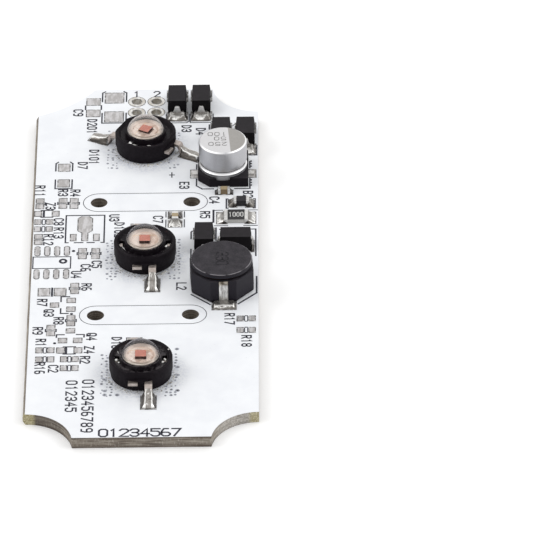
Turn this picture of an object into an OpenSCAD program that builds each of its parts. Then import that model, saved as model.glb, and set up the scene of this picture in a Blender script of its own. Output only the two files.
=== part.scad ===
// LED circuit board: a narrow white board with three domed power LEDs, a row of
// mounting holes on either side of the middle one, and the parts of its driver.
// X runs across the board, Y along it, and Z up from the underside.
// The origin is the middle of the whole outline, on the underside.

/* [Board] */
// Width of the board between its two long edges
board_w = 29.2; // [29:0.1:31]
// Length of the board
board_l = 78.3; // [78:0.1:82]
// Thickness of the finished board
board_t = 1.6; // [1.2:0.1:2.4]
// Radius of the three round corner notches
notch_r = 6; // [5:0.1:6.2]
// Radius of the longer, flatter notch at the far left corner
long_notch_r = 16; // [15:0.5:18]
// How far the snapped web stands out of the left edge
web_out = 0.3; // [0.1:0.05:0.5]
// Height of the snapped web
web_h = 0.5; // [0.3:0.05:0.7]

/* [Mounting holes] */
// Diameter of the four mounting holes
mount_hole_d = 2.2; // [1.6:0.1:2.6]
// Distance between the two mounting holes of a row
mount_pitch_x = 12.1; // [11.6:0.1:12.6]
// Distance between neighbouring LEDs, and between the two rows of mounting holes
led_pitch = 25.4; // [25.2:0.1:25.6]

/* [Wire holes] */
// Diameter of the plated wire holes
wire_hole_d = 1.3; // [0.9:0.05:1.5]
// Outer diameter of the ring round a wire hole
wire_ring_d = 2.3; // [2:0.05:2.4]
// Distance between neighbouring wire holes
wire_pitch = 2.6; // [2.54:0.02:2.8]

/* [LED] */
// Diameter of the moulded body
led_d = 8; // [7.6:0.1:8.2]
// Height of the moulded body's rim above the board
led_rim_h = 2.7; // [2.5:0.05:3]
// Radius of the clear dome's rounding
dome_r = 2.5; // [2.47:0.01:2.53]
// Wall of the hollow dome
dome_wall = 0.12; // [0.1:0.01:0.16]
// Width of a lead
led_lead_w = 0.96; // [0.8:0.02:1.1]
// Side of the square light-emitting chip
die_w = 1.4; // [1:0.05:1.5]
// How far the far LED is turned from the other two
far_led_turn = 62; // [55:1:68]

/* [Driver parts] */
// Diameter of the electrolytic capacitor's can
can_d = 6.3; // [6:0.1:6.4]
// Height of the capacitor above the board
can_h = 5.25; // [4.8:0.05:6]
// Width of the power inductor across its flats
coil_w = 8; // [7.6:0.1:8.1]
// Height of the power inductor above the board
coil_h = 4.2; // [3.8:0.1:4.6]
// Length of a diode's body
diode_l = 4.1; // [3.9:0.05:4.3]
// Width of a diode's body
diode_w = 2.5; // [2.3:0.05:2.6]
// Height of a diode above the board
diode_h = 2.25; // [2:0.05:2.5]

/* [Hidden] */
$fn = 72;

// A hair of overlap that makes a cut go right through
eps = 0.01;
// Layers of the board: solder mask over copper, on each side of the glass-fibre core
mask_t = 0.05;
copper_t = 0.035;
core_top = board_t - mask_t;
// The tinned pads stand this far above the mask, and the mask keeps this far off them
pad_up = 0.02;
mask_gap = 0.05;
copper_gap = 0.2;
// The bottom mask ends this far from every edge
mask_rim = 0.3;
silk_t = 0.02;
silk_w = 0.19;
// The web widens the outline on the left, so the board sits this far right of the origin
board_cx = web_out / 2;
// The LEDs and mounting holes share one middle line, a little off the board's own
column_x = -0.14;
column_y = -0.29;

// Each corner notch is an arc round a centre that lies just outside the outline
near_notch_out = 0.95;
far_notch_out = 0.4;
long_notch_x = -board_w / 2 - 5.96;
long_notch_y = board_l / 2 + 8.73;

// The two long edges and the far end, from which most parts have their places
left = -board_w / 2;
right = board_w / 2;
far_end = board_l / 2;

// Small chip footprints with their two pads one behind the other: x, y of the middle
chip_rows = [
    [left + 0.7, 12.3], [left + 3.7, 12.33], [left + 5.15, 12.3], [left + 0.7, 4.1],
    [left + 6.47, 0.8], [left + 8.18, 0.8], [left + 5.63, -7], [left + 5.3, -14.08],
    [left + 2.8, -16.2]
];
// Small chip footprints with their two pads side by side: x, y and the pitch of the pads
chip_columns = [
    [left + 1.3, 8.1, 1.45], [left + 1.28, 6.46, 1.45], [left + 2.16, -20.5, 1.42],
    [left + 2.19, -22.48, 1.42], [left + 5.3, -22.48, 1.37], [left + 5.31, -24.4, 1.37],
    [right - 1.6, -14.05, 1.45], [right - 1.6, -16.57, 1.45]
];
small_pad_w = 1.02;
small_pad_l = 1.05;
small_pad_pitch = 1.28;
// Small transistor footprints: three pads each
transistor_pads = [
    [left + 5.25, -9.64], [left + 5.25, -11.57], [left + 3.14, -10.64],
    [left + 5.3, -16.3], [left + 4.34, -18.43], [left + 6.26, -18.43]
];
// Footprint of the eight-lead driver chip
driver_pitch = 1.27;
driver_x = left + 2.56;
driver_y = -1.15;
driver_row = 5.2;
// Footprints of the three-lead regulator, the power diode and the sense resistor
regulator_x = left + 6.7;
regulator_y = 6.4;
power_diode_x = left + 3.68;
power_diode_y = 18.8;
sense_x = left + 2.76;
sense_y = -7.75;
// Footprints of the two small zener diodes
zeners = [[left + 1.66, 9.97, 1.14, 0.9], [left + 5.24, -20.58, 1.1, 1]];
// Copper patch under each LED, on the top and on the underside
top_heat_w = 10.4;
top_heat_l = 9.6;
bottom_heat_w = 20;
bottom_heat_l = 14;

// Places of the fitted parts, from the middle of the board
led_x = [-0.2, 0, -0.23];
wire_x = -0.26;
wire_y = far_end - 4.29;
filter_x = wire_x - 7.09;
surge_x = wire_x - 4.31;
cap_x = right - 4.6;
cap_y = 19;
coil_x = right - 4.7;
coil_y = -6.52;
coil_turn = 3.5;
coil_pad_x = right - 4.4;
// Bridge rectifier: x, y and turn of each diode, then how far its two pads reach from
// its middle, the one towards the near end of the board first
rectifiers = [
    [wire_x + 4.11, wire_y - 0.06, 0, 3.45, 3.9], [wire_x + 7.31, wire_y - 0.04, 0, 3.47, 3.9],
    [right - 4.88, cap_y + 8, 0, 3.75, 3.75], [right - 1.68, cap_y + 8, 0, 3.75, 3.75]
];
// Driver diodes, in the same way
driver_diodes = [[right - 7.05, 2.5, 0, 3.45, 3.8],
    [right - 2.95, 2.1, 90, diode_l / 2 + 0.33, diode_l / 2 + 0.33]];
shunt_x = right - 2.9;
shunt_y = 8.53;
bead_x = right - 2.23;
bead_y = 11.8;
c1_x = right - 4.48;
c1_y = 14.35;
c2_x = 3.77;
c2_y = 8.45;

// Puts its children in the board's own frame, on the top face
module on_board(x = 0, y = 0, turn = 0)
    translate([board_cx + x, y, board_t]) rotate([0, 0, turn]) children();

// A flat plate from z0 up, made from a 2D shape
module plate(z0, t) translate([board_cx, 0, z0]) linear_extrude(t) children();

// A block with its own middle at x, y and its underside at z
module block(w, l, h, x = 0, y = 0, z = 0)
    translate([x - w / 2, y - l / 2, z]) cube([w, l, h]);

// A block that narrows towards its top by straight slopes on all four sides
module tapered_block(w0, l0, w1, l1, h)
    intersection() {
        rotate([90, 0, 0]) linear_extrude(2 * l0, center = true)
            polygon([[-w0 / 2, 0], [w0 / 2, 0], [w1 / 2, h], [-w1 / 2, h]]);
        rotate([90, 0, 90]) linear_extrude(2 * w0, center = true)
            polygon([[-l0 / 2, 0], [l0 / 2, 0], [l1 / 2, h], [-l1 / 2, h]]);
    }

// A ring from r0 to r1, from z0 up
module ring(r0, r1, z0, h)
    translate([0, 0, z0]) difference() {
        cylinder(r = r1, h = h);
        translate([0, 0, -eps]) cylinder(r = r0, h = h + 2 * eps);
    }

// A rectangle with its middle at x, y
module patch(x, y, w, l) translate([x, y]) square([w, l], center = true);

// A straight printed line between two points, with square ends
module line(a, b, w = silk_w) {
    d = b - a;
    translate((a + b) / 2) rotate(atan2(d[1], d[0])) square([norm(d) + w, w], center = true);
}

// Printed lines along a row of points
module lines(points, w = silk_w)
    for (i = [0 : len(points) - 2]) line(points[i], points[i + 1], w);

// A slot shape: two half circles joined by straight sides
module slot_2d(length, d)
    union() {
        square([length, d], center = true);
        for (s = [-1, 1]) translate([s * length / 2, 0]) circle(d = d);
    }

// Points of an arc, for profiles
function arc(cx, cy, r, a0, a1, n = 6) =
    [for (i = [0 : n]) [cx + r * cos(a0 + (a1 - a0) * i / n), cy + r * sin(a0 + (a1 - a0) * i / n)]];

// Board

module notch_cutters(grow = 0)
    translate([board_cx, 0, -1]) {
        for (s = [-1, 1]) translate([s * board_w / 2, -board_l / 2 - near_notch_out, 0])
            cylinder(r = notch_r + grow, h = board_t + 2);
        translate([board_w / 2, board_l / 2 + far_notch_out, 0]) cylinder(r = notch_r + grow, h = board_t + 2);
        translate([long_notch_x, long_notch_y, 0])
            cylinder(r = long_notch_r + grow, h = board_t + 2, $fn = 96);
    }

module mount_hole_cutters(grow = 0)
    for (sx = [-1, 1], sy = [-1, 1])
        translate([board_cx + column_x + sx * mount_pitch_x / 2, column_y + sy * led_pitch / 2, -1])
            cylinder(d = mount_hole_d + 2 * grow, h = board_t + 2);

module wire_hole_cutters(d)
    for (sx = [-1, 1], sy = [-1, 1])
        translate([board_cx + wire_x + sx * wire_pitch / 2, wire_y + sy * wire_pitch / 2, -1])
            cylinder(d = d, h = board_t + 2);

// A sheet of the board with its notches and mounting holes, held back from every edge by
// the width of a rim
module sheet(z0, t, rim = 0)
    difference() {
        plate(z0, t) square([board_w - 2 * rim, board_l - 2 * rim], center = true);
        notch_cutters(rim);
        mount_hole_cutters(rim);
    }

// Glass-fibre core: a shallow recess in its underside takes the bottom mask, and its
// left long edge was scored and snapped, so a web stands out of it
module board_core() color([0.55, 0.51, 0.42])
    difference() {
        union() {
            plate(0, core_top) square([board_w, board_l], center = true);
            translate([board_cx - board_w / 2, board_l / 2, 0]) rotate([90, 0, 0])
                linear_extrude(board_l)
                    polygon([[eps, 0], [eps, core_top], [0, core_top],
                        [-web_out, board_t / 2 + web_h / 2], [-web_out, board_t / 2 - web_h / 2],
                        [0, 0]]);
        }
        notch_cutters();
        mount_hole_cutters();
        wire_hole_cutters(wire_hole_d + 0.1);
        sheet(-eps, mask_t + eps, mask_rim);
    }

// The place of each LED: near, middle and far, with the turn of its leads
module at_led(i) on_board(led_x[i], column_y + (i - 1) * led_pitch, i == 2 ? far_led_turn : 0) children();

// The LED pads, in the LED's own frame
module led_pads_2d(grow = 0) {
    for (s = [-1, 1]) patch(s * led_lead_x, -s * led_pad_y, led_pad_w + 2 * grow, led_pad_l + 2 * grow);
    circle(d = led_slug_d + 2 * grow);
}

module led_pads_all_2d(grow = 0)
    for (i = [0 : 2]) translate([led_x[i], column_y + (i - 1) * led_pitch])
        rotate(i == 2 ? far_led_turn : 0) led_pads_2d(grow);

// Copper under each LED that carries its heat away
module heat_copper_2d(w, l)
    for (i = [0 : 2]) patch(led_x[i], column_y + (i - 1) * led_pitch, w, l);

// Rings of the wire holes
module wire_rings_2d(grow = 0)
    for (sx = [-1, 1], sy = [-1, 1])
        translate([wire_x + sx * wire_pitch / 2, wire_y + sy * wire_pitch / 2])
            circle(d = wire_ring_d + 2 * grow);

// The copper keeps off every pad and ring
module top_copper_2d() difference() {
    heat_copper_2d(top_heat_w, top_heat_l);
    fitted_pads_2d(copper_gap);
    bare_pads_2d(copper_gap);
    wire_rings_2d(copper_gap);
}

module bottom_copper_2d() difference() {
    heat_copper_2d(bottom_heat_w, bottom_heat_l);
    wire_rings_2d(copper_gap);
}

module top_copper() color([0.72, 0.45, 0.25]) plate(core_top, copper_t) top_copper_2d();

module bottom_copper() color([0.72, 0.45, 0.25]) plate(mask_t - copper_t, copper_t) bottom_copper_2d();

// Plain pads that hold no part
module bare_pads_2d(grow = 0) {
    g = 2 * grow;
    for (p = chip_rows, s = [-1, 1])
        patch(p[0], p[1] + s * small_pad_pitch / 2, small_pad_w + g, small_pad_l + g);
    for (p = chip_columns, s = [-1, 1])
        patch(p[0] + s * (p[2] / 2 + 0.04), p[1], 0.8 + g, 1.12 + g);
    for (p = transistor_pads) patch(p[0], p[1], 1.08 + g, 1.02 + g);
    // Input filter, surge diode and power diode
    for (s = [-1, 1]) {
        patch(filter_x, wire_y + s * 1.38, 1.82 + g, 1.65 + g);
        patch(surge_x, wire_y + s * 2.26, 2.5 + g, 2.45 + g);
        patch(power_diode_x, power_diode_y + s * 1.83, 1.52 + g, 1.72 + g);
        patch(sense_x + s * 1.03, sense_y, 1.5 + g, 1.7 + g);
        for (z = zeners) patch(z[0] + s * z[2], z[1], z[3] + g, 1.18 + g);
    }
    // Eight-lead driver chip
    for (i = [0 : 3], s = [-1, 1])
        translate([driver_x + (i - 1.5) * driver_pitch, driver_y + s * driver_row / 2])
            rotate(90) slot_2d(1.42, 0.68 + g);
    // Three-lead regulator: two small pads and the large one, joined to its tail
    for (s = [-1, 1]) patch(regulator_x + s * 1.5, regulator_y - 1.95, 0.74 + g, 1.5 + g);
    patch(regulator_x, regulator_y - 1.7, 0.78 + g, 2 + g);
    translate([regulator_x, regulator_y + 1]) regulator_pad_2d(grow);
}

module regulator_pad_2d(grow = 0) {
    w = 0.94 + grow;
    l = 1.83 + grow;
    c = 0.45;
    polygon([[-w, -l + c], [-w + c, -l], [w - c, -l], [w, -l + c], [w, l - c], [w - c, l], [-w + c, l],
        [-w, l - c]]);
}

module bare_pads() color([0.78, 0.77, 0.76])
    plate(core_top, mask_t + pad_up) bare_pads_2d();

// Pads under the fitted parts
diode_pad_in = 1.25;
module diode_pads_2d(p, grow = 0)
    translate([p[0], p[1]]) rotate(p[2]) for (s = [-1, 1]) {
        reach = s < 0 ? p[3] : p[4];
        patch(0, s * (reach + diode_pad_in) / 2, 2.75 + 2 * grow, reach - diode_pad_in + 2 * grow);
    }

module fitted_pads_2d(grow = 0) {
    g = 2 * grow;
    led_pads_all_2d(grow);
    for (p = concat(rectifiers, driver_diodes)) diode_pads_2d(p, grow);
    for (s = [-1, 1]) {
        patch(cap_x + s * 2.9, cap_y - 0.2, 2.8 + g, 1.9 + g);
        patch(coil_pad_x, coil_y + s * (coil_w / 2 + 0.35), 3.1 + g, 2.5 + g);
        patch(shunt_x + s * 1.83, shunt_y, 1.45 + g, 2.7 + g);
        patch(bead_x + s * 1.13, bead_y + 0.05, 1.15 + g, 1.85 + g);
        patch(c1_x + s * 0.72, c1_y + 0.1, 0.85 + g, 1.05 + g);
        patch(c2_x, c2_y + s * 1 - 0.1, 1.8 + g, 1.55 + g);
    }
}

module fitted_pads() color([0.78, 0.77, 0.76])
    plate(core_top, mask_t + pad_up) fitted_pads_2d();

// White solder mask: its openings leave the pads and rings free
module top_mask() color([0.94, 0.95, 0.98])
    difference() {
        sheet(core_top, mask_t);
        wire_hole_cutters(wire_ring_d + 2 * mask_gap);
        plate(core_top - eps, mask_t + 2 * eps) bare_pads_2d(mask_gap);
        plate(core_top - eps, mask_t + 2 * eps) fitted_pads_2d(mask_gap);
        plate(core_top - eps, copper_t + eps) top_copper_2d();
    }

module bottom_mask() color([0.94, 0.95, 0.98])
    difference() {
        sheet(0, mask_t, mask_rim);
        wire_hole_cutters(wire_ring_d + 2 * mask_gap);
        plate(mask_t - copper_t, copper_t + eps) bottom_copper_2d();
    }

// Plated barrels of the wire holes, with a ring on each face
module wire_hole_barrels() color([0.78, 0.77, 0.74])
    for (sx = [-1, 1], sy = [-1, 1])
        translate([board_cx + wire_x + sx * wire_pitch / 2, wire_y + sy * wire_pitch / 2, 0])
            difference() {
                union() {
                    cylinder(d = wire_hole_d + 0.1, h = board_t + pad_up);
                    cylinder(d = wire_ring_d, h = mask_t);
                    translate([0, 0, core_top]) cylinder(d = wire_ring_d, h = mask_t + pad_up);
                }
                translate([0, 0, -eps]) cylinder(d = wire_hole_d, h = board_t + 1);
            }

// Printed lines that frame the parts, kept off the pads
module silkscreen() color([0.2, 0.2, 0.24])
    plate(board_t, silk_t) difference() {
        union() {
            mount_row_lines();
            top_part_lines();
            left_part_lines();
            right_part_lines();
        }
        bare_pads_2d(pad_up);
        fitted_pads_2d(pad_up);
    }

// A thin slot-shaped line round each row of mounting holes
module mount_row_lines()
    for (s = [-1, 1]) translate([column_x, column_y + s * led_pitch / 2]) difference() {
        slot_2d(mount_pitch_x, 4.18);
        slot_2d(mount_pitch_x, 4.02);
    }

// A corner bracket on one side of a footprint: a straight line with its two ends turned in
module bracket(x, y0, y1, turn_in)
    lines([[x + turn_in, y0], [x, y0], [x, y1], [x + turn_in, y1]]);

module top_part_lines() {
    // Surge diode
    for (s = [-1, 1]) {
        x = surge_x + s * 1.6;
        lines([[x - s * 0.35, wire_y + 3.8], [x, wire_y + 3.5], [x, wire_y + 1.4]]);
        lines([[x, wire_y - 1.4], [x, wire_y - 3.75], [surge_x, wire_y - 3.75]]);
        // Input filter
        line([filter_x + s * 1.05, wire_y - 0.45], [filter_x + s * 1.05, wire_y + 0.45]);
    }
    // Bridge rectifier
    for (i = [0, 1]) translate([rectifiers[i][0], rectifiers[i][1]])
        lines([[-1.46, -1.8], [-1.46, -3.82], [1.25, -3.82], [1.57, -3.5], [1.57, -1.8]], 0.14);
    translate([rectifiers[2][0], rectifiers[2][1]]) {
        line([-1.6, 2.4], [-1.6, 3.4]);
        line([1.5, 3.1], [1.7, 3.45], 0.1);
    }
    translate([rectifiers[3][0], rectifiers[3][1]]) lines([[0.48, -3.9], [1.51, -3.9], [1.51, -1.6]], 0.14);
}

module left_part_lines() {
    // Power diode
    for (s = [-1, 1]) translate([power_diode_x, power_diode_y]) {
        lines([[s * 0.8, 3.15], [s * 1.1, 2.8], [s * 1.1, 1.1]]);
        lines([[s * 1.1, -1], [s * 1.1, -3.05], [0, -3.05]]);
    }
    // Short marks on both sides of each gap between two small pads
    for (p = chip_rows, s = [-1, 1])
        if (abs(p[0] + s * 0.7) < board_w / 2 - 0.15)
            line([p[0] + s * 0.68, p[1] - 0.25], [p[0] + s * 0.68, p[1] + 0.25], 0.16);
    for (p = chip_columns, s = [-1, 1]) {
        line([p[0] - 0.12, p[1] + s * 0.6], [p[0] + 0.12, p[1] + s * 0.6], 0.15);
        line([p[0] + s * 0.2, p[1] - 0.45], [p[0] + s * 0.2, p[1] + 0.45], 0.13);
    }
    // Two small zener frames, each with a bar at its left end
    for (z = zeners) zener_frame(z[0], z[1]);
    regulator_frame();
    // Driver chip
    translate([driver_x, driver_y]) {
        difference() {
            square([5, 2.75], center = true);
            square([4.7, 2.45], center = true);
        }
        translate([1.45, 0.3]) difference() {
            circle(d = 1.1);
            circle(d = 0.46);
        }
        translate([2.75, 2.57]) circle(d = 0.45);
    }
    // Sense resistor and transistors
    patch(sense_x, sense_y, 0.26, 2);
    translate([transistor_pads[2][0], transistor_pads[2][1]]) {
        lines([[1.86, 1.84], [0.81, 1.84], [0.81, 0.79]]);
        lines([[0.81, -0.81], [0.81, -1.86], [1.76, -1.86]]);
        translate([2.21, -1.98]) circle(d = 0.4);
    }
    translate([transistor_pads[3][0], transistor_pads[3][1]]) {
        for (s = [-1, 1]) lines([[s * 0.8, -0.85], [s * 1.75, -0.85], [s * 1.75, -1.4]]);
        translate([-1.95, -2.7]) circle(d = 0.4);
    }
}

module zener_frame(x, y) {
    for (s = [-1, 1]) line([x - 0.75, y + s * 0.78], [x + 0.75, y + s * 0.78], 0.18);
    patch(x - 0.4, y, 0.28, 1.5);
}

module regulator_frame() {
    w = 2.5;
    l = 3.1;
    translate([regulator_x, regulator_y]) {
        lines([[-w + 0.35, -l], [-w, -l], [-w, l], [w, l], [w, -l], [w - 0.35, -l]]);
        line([-1.3, -l], [-0.25, -l]);
        line([0.35, -l], [1.2, -l]);
    }
}

module right_part_lines() {
    // Capacitor: chamfered at its plus side, and a toothed line on the other
    x0 = cap_x - 3.5;
    x1 = cap_x + 3.5;
    y0 = cap_y - 3.7;
    y1 = cap_y + 3.6;
    line([x0, cap_y + 1], [x0, cap_y + 2]);
    lines([[x0, cap_y - 1.4], [x0, y0 + 0.75], [x0 + 0.75, y0], [c1_x - 1.4, y0]]);
    lines([[c1_x + 1.4, y0], [x1, y0], [x1, cap_y - 1.4]]);
    line([x1, cap_y + 1.1], [x1, y1 - 1]);
    for (y = [-2.9, -2.3, -1.7, 1.5, 2.1, 2.7]) patch(x1 + 0.16, cap_y + y, 0.22, 0.3);
    // Ferrite bead
    bracket(bead_x - 1.95, bead_y - 1.02, bead_y + 1.12, 0.2);
    bracket(bead_x + 1.8, bead_y - 1.02, bead_y + 1.12, -0.2);
    // Shunt resistor, with one heavy side
    line([shunt_x - 2.95, shunt_y - 0.9], [shunt_x - 2.95, shunt_y + 1.8], 0.26);
    line([shunt_x - 2.8, shunt_y + 1.8], [shunt_x - 1.75, shunt_y + 1.8], 0.14);
    line([shunt_x + 1.6, shunt_y + 1.8], [shunt_x + 2.75, shunt_y + 1.8], 0.14);
    line([shunt_x - 2.8, shunt_y - 1.75], [shunt_x - 1.1, shunt_y - 1.75], 0.14);
    line([shunt_x + 1, shunt_y - 1.75], [shunt_x + 2.75, shunt_y - 1.75], 0.14);
    // Chip capacitor beside the middle LED
    for (s = [-1, 1]) {
        line([c2_x + s * 1.2, c2_y - 1.85], [c2_x + s * 1.2, c2_y - 0.2], 0.14);
        line([c2_x + s * 1.2, c2_y + 0.45], [c2_x + s * 1.2, c2_y + 1.65], 0.14);
    }
    // Driver diodes
    lines([[right - 8.6, 5.6], [right - 8.73, 5.4], [right - 8.73, 3.9]]);
    line([right - 5.5, 3.5], [right - 5.5, 6.3]);
    lines([[right - 5, 5.95], [right - 0.35, 5.95], [right - 0.35, -0.1]]);
    // Inductor
    line([right - 8.73, -2.9], [right - 8.73, 1.5]);
    lines([[right - 0.25, -4.8], [right - 0.25, -8.4], [right - 2.6, -10.8]], 0.22);
    line([right - 8.6, -8.65], [right - 6.2, -10.9], 0.2);
}

// LED: a ring-shaped moulded body round a copper slug, which carries the chip in its
// cup under a clear dome. Each lead leaves the body low down and bends to its pad.

led_slug_d = 5.6;
led_lead_x = 0.98;
led_pad_y = 6.25;
led_pad_w = 1.95;
led_pad_l = 2.9;
led_floor = 0.12;
lead_z = 1.15;
lead_t = 0.4;
// The slug ends a little above the rim of the body in a cup with sloping walls, which
// carries the chip
cup_z = led_rim_h + 0.17;
cup_top = led_rim_h + 0.47;
seat_z = led_rim_h + 0.05;
cup_r = 1.7;
die_h = 0.27;
// A thin collar of the body holds the lens
lens_r = dome_r - 0.13;
collar_r = lens_r + 0.03;
slug_top_r = lens_r - dome_wall - 0.05;
dome_z = led_rim_h - 0.35;
flat_y = led_d / 2 - 0.42;

module led_body()
    difference() {
        rotate_extrude()
            polygon([[led_slug_d / 2, led_floor], [led_d / 2 - 0.15, led_floor],
                [led_d / 2 - 0.15, 0.85], [led_d / 2, 0.95], [led_d / 2, led_rim_h - 0.12],
                [led_d / 2 - 0.12, led_rim_h], [led_d / 2 - 0.4, led_rim_h],
                [led_d / 2 - 0.72, led_rim_h - 0.42], [collar_r + 0.3, led_rim_h - 0.5],
                [collar_r + 0.2, led_rim_h + 0.16], [collar_r, led_rim_h + 0.16],
                [collar_r, seat_z], [slug_top_r, seat_z], [slug_top_r, 1.45],
                [led_slug_d / 2, 1.45]]);
        for (s = [-1, 1]) {
            // Flats above the leads
            block(2 * led_d, led_d, led_rim_h, 0, s * (flat_y + led_d / 2), lead_z + lead_t + 0.15);
            // Windows in the bowl that show the lead frame
            block(0.6, 1.3, led_rim_h, s * (collar_r + 0.6), 0, lead_z);
        }
        led_leads();
    }

module led_slug()
    rotate_extrude()
        polygon([[0, pad_up], [led_slug_d / 2, pad_up], [led_slug_d / 2, 1.45], [slug_top_r, 1.45],
            [slug_top_r, cup_top], [slug_top_r - 0.06, cup_top], [cup_r, cup_z], [0, cup_z]]);

module led_chip() block(die_w, die_w, die_h, 0, 0, cup_z);

// Hollow clear dome whose foot fits between the slug and the collar of the body
module led_lens()
    difference() {
        union() {
            intersection() {
                translate([0, 0, dome_z]) sphere(r = dome_r);
                translate([0, 0, seat_z]) cylinder(r = lens_r, h = 20);
            }
            translate([0, 0, seat_z]) cylinder(r = collar_r, h = 0.09);
        }
        intersection() {
            translate([0, 0, dome_z]) sphere(r = dome_r - dome_wall);
            translate([0, 0, seat_z - eps]) cylinder(r = slug_top_r, h = 20);
        }
    }

// One lead: it bends down to its pad, runs as half a ring inside the body and ends in the
// short stub where it was cut from its strip on the other side
module led_lead() {
    half = led_lead_w / 2;
    y_out = led_d / 2 + 0.45;
    y_foot = led_pad_y - 1.2;
    y_end = led_pad_y + 0.95;
    translate([led_lead_x + half, 0, 0]) rotate([90, 0, -90]) linear_extrude(led_lead_w)
        polygon(concat(
            [[3.1, lead_z + lead_t]],
            arc(y_out, lead_z + lead_t - 0.3, 0.3, 90, 35, 3),
            arc(y_foot + 0.25, pad_up + lead_t + 0.2, 0.2, 215, 270, 3),
            [[y_end, pad_up + lead_t], [y_end, pad_up]],
            arc(y_foot, pad_up + 0.3, 0.3, 270, 215, 3),
            arc(y_out - 0.12, lead_z - 0.2, 0.2, 35, 90, 3),
            [[3.1, lead_z]]));
    intersection() {
        ring(led_slug_d / 2 + 0.2, 3.5, lead_z, lead_t);
        block(3.6, 6.6, 2, 2.1, 0, 0.5);
    }
    // Post that stands up in the window of the bowl
    block(0.34, 0.7, 0.85, collar_r + 0.65, -0.1, lead_z);
    // Stub on the far side
    block(1.22, led_d / 2 - 2.75, lead_t, 0.97, led_d / 4 + 1.725, lead_z);
}

module led_leads() {
    led_lead();
    rotate([0, 0, 180]) led_lead();
}

module near_led_body() color([0.13, 0.12, 0.13]) at_led(0) led_body();
module near_led_slug() color([0.86, 0.78, 0.72]) at_led(0) led_slug();
module near_led_chip() color([0.82, 0.42, 0.36]) at_led(0) led_chip();
module near_led_lens() color([0.95, 0.93, 0.9, 0.5]) at_led(0) led_lens();
module near_led_leads() color([0.72, 0.7, 0.66]) at_led(0) led_leads();
module middle_led_body() color([0.13, 0.12, 0.13]) at_led(1) led_body();
module middle_led_slug() color([0.86, 0.78, 0.72]) at_led(1) led_slug();
module middle_led_chip() color([0.82, 0.42, 0.36]) at_led(1) led_chip();
module middle_led_lens() color([0.95, 0.93, 0.9, 0.5]) at_led(1) led_lens();
module middle_led_leads() color([0.72, 0.7, 0.66]) at_led(1) led_leads();
module far_led_body() color([0.13, 0.12, 0.13]) at_led(2) led_body();
module far_led_slug() color([0.86, 0.78, 0.72]) at_led(2) led_slug();
module far_led_chip() color([0.82, 0.42, 0.36]) at_led(2) led_chip();
module far_led_lens() color([0.95, 0.93, 0.9, 0.5]) at_led(2) led_lens();
module far_led_leads() color([0.72, 0.7, 0.66]) at_led(2) led_leads();

// Solder that wraps the foot of each lead
module led_solder() color([0.75, 0.74, 0.72])
    for (i = [0 : 2], s = [0, 180]) at_led(i) rotate([0, 0, s]) difference() {
        translate([led_lead_x, -led_pad_y, pad_up]) tapered_block(1.85, 2.8, 1.2, 2.1, 0.66);
        led_lead();
    }

// Electrolytic capacitor: crimped can over a rubber bung, on a moulded base plate

cap_base_w = can_d + 0.3;
cap_base_h = 1.35;
cap_seat = 0.55;
can_wall = 0.2;
crimp_z = 2.4;
crimp_d = 0.32;
// Where the terminals start and end, and where their wires rise
term_in = 0.75;
term_out = cap_base_w / 2 + 0.75;
wire_in = 1.05;

// Side of the can at radius r, from z0 up to z1, with the crimped groove
function crimped(r, z0, z1) = [[r, z0], [r, crimp_z - 0.38], [r - crimp_d, crimp_z - 0.14],
    [r - crimp_d, crimp_z + 0.14], [r, crimp_z + 0.38], [r, z1]];
function reversed(list) = [for (i = [len(list) - 1 : -1 : 0]) list[i]];

module at_cap() on_board(cap_x, cap_y) children();

module capacitor_can() color([0.8, 0.8, 0.82]) at_cap()
    rotate_extrude()
        polygon(concat(
            crimped(can_d / 2, cap_seat, can_h - 0.3),
            [[can_d / 2 - 0.09, can_h - 0.09], [can_d / 2 - 0.3, can_h], [0, can_h], [0, can_h - can_wall]],
            reversed(crimped(can_d / 2 - can_wall, cap_seat, can_h - can_wall))));

module capacitor_base() color([0.12, 0.11, 0.12]) at_cap()
    difference() {
        translate([0, 0, pad_up + 0.02]) linear_extrude(cap_base_h - pad_up - 0.02)
            polygon(cap_base_points(cap_base_w / 2, 1.5));
        translate([0, 0, cap_seat]) cylinder(d = can_d, h = 5);
        // Channels for the terminals, and the way of their wires into the can
        for (s = [-1, 1]) {
            block(cap_base_w / 2, 0.7, pad_up + 0.2 + eps, s * (term_in - 0.1 + cap_base_w / 4), -0.2, -eps);
            translate([s * wire_in, -0.2, -eps]) cylinder(d = 0.5, h = 2);
        }
        // Window in the front wall that shows the can
        block(1.8, 2, 1, 0, -cap_base_w / 2, 0.95);
    }

function cap_base_points(h, c) = [[h, -h], [h, h], [-h + c, h], [-h, h - c], [-h, -h + c], [-h + c, -h]];

module capacitor_bung() color([0.1, 0.1, 0.1]) at_cap()
    difference() {
        rotate_extrude()
            polygon(concat([[0, cap_seat]], crimped(can_d / 2 - can_wall, cap_seat, crimp_z + 0.6),
                [[0, crimp_z + 0.6]]));
        for (s = [-1, 1]) translate([s * wire_in, -0.2, 0]) cylinder(d = 0.5, h = 5);
    }

module capacitor_winding() color([0.75, 0.72, 0.62]) at_cap()
    translate([0, 0, crimp_z + 0.6]) cylinder(d = can_d - 2 * can_wall - 0.3, h = can_h - crimp_z - 0.95);

// Flat terminal under the base, with its wire up through the bung
module capacitor_terminals() color([0.75, 0.74, 0.72]) at_cap()
    for (s = [-1, 1]) {
        block(term_out - term_in, 0.65, 0.2, s * (term_out + term_in) / 2, -0.2, pad_up);
        translate([s * wire_in, -0.2, pad_up]) cylinder(d = 0.5, h = crimp_z + 0.6 - pad_up);
    }

// Power inductor: a drum core with its winding, standing in an eight-sided ferrite
// shield on a thin base, with a terminal at each end

coil_base_t = 0.35;
coil_top_t = 0.6;
shield_h = coil_h - coil_top_t - 0.33;
core_r = 1.5;
lower_flange_r = 2.9;
lower_flange_t = 0.5;
winding_gap = 0.1;

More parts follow.
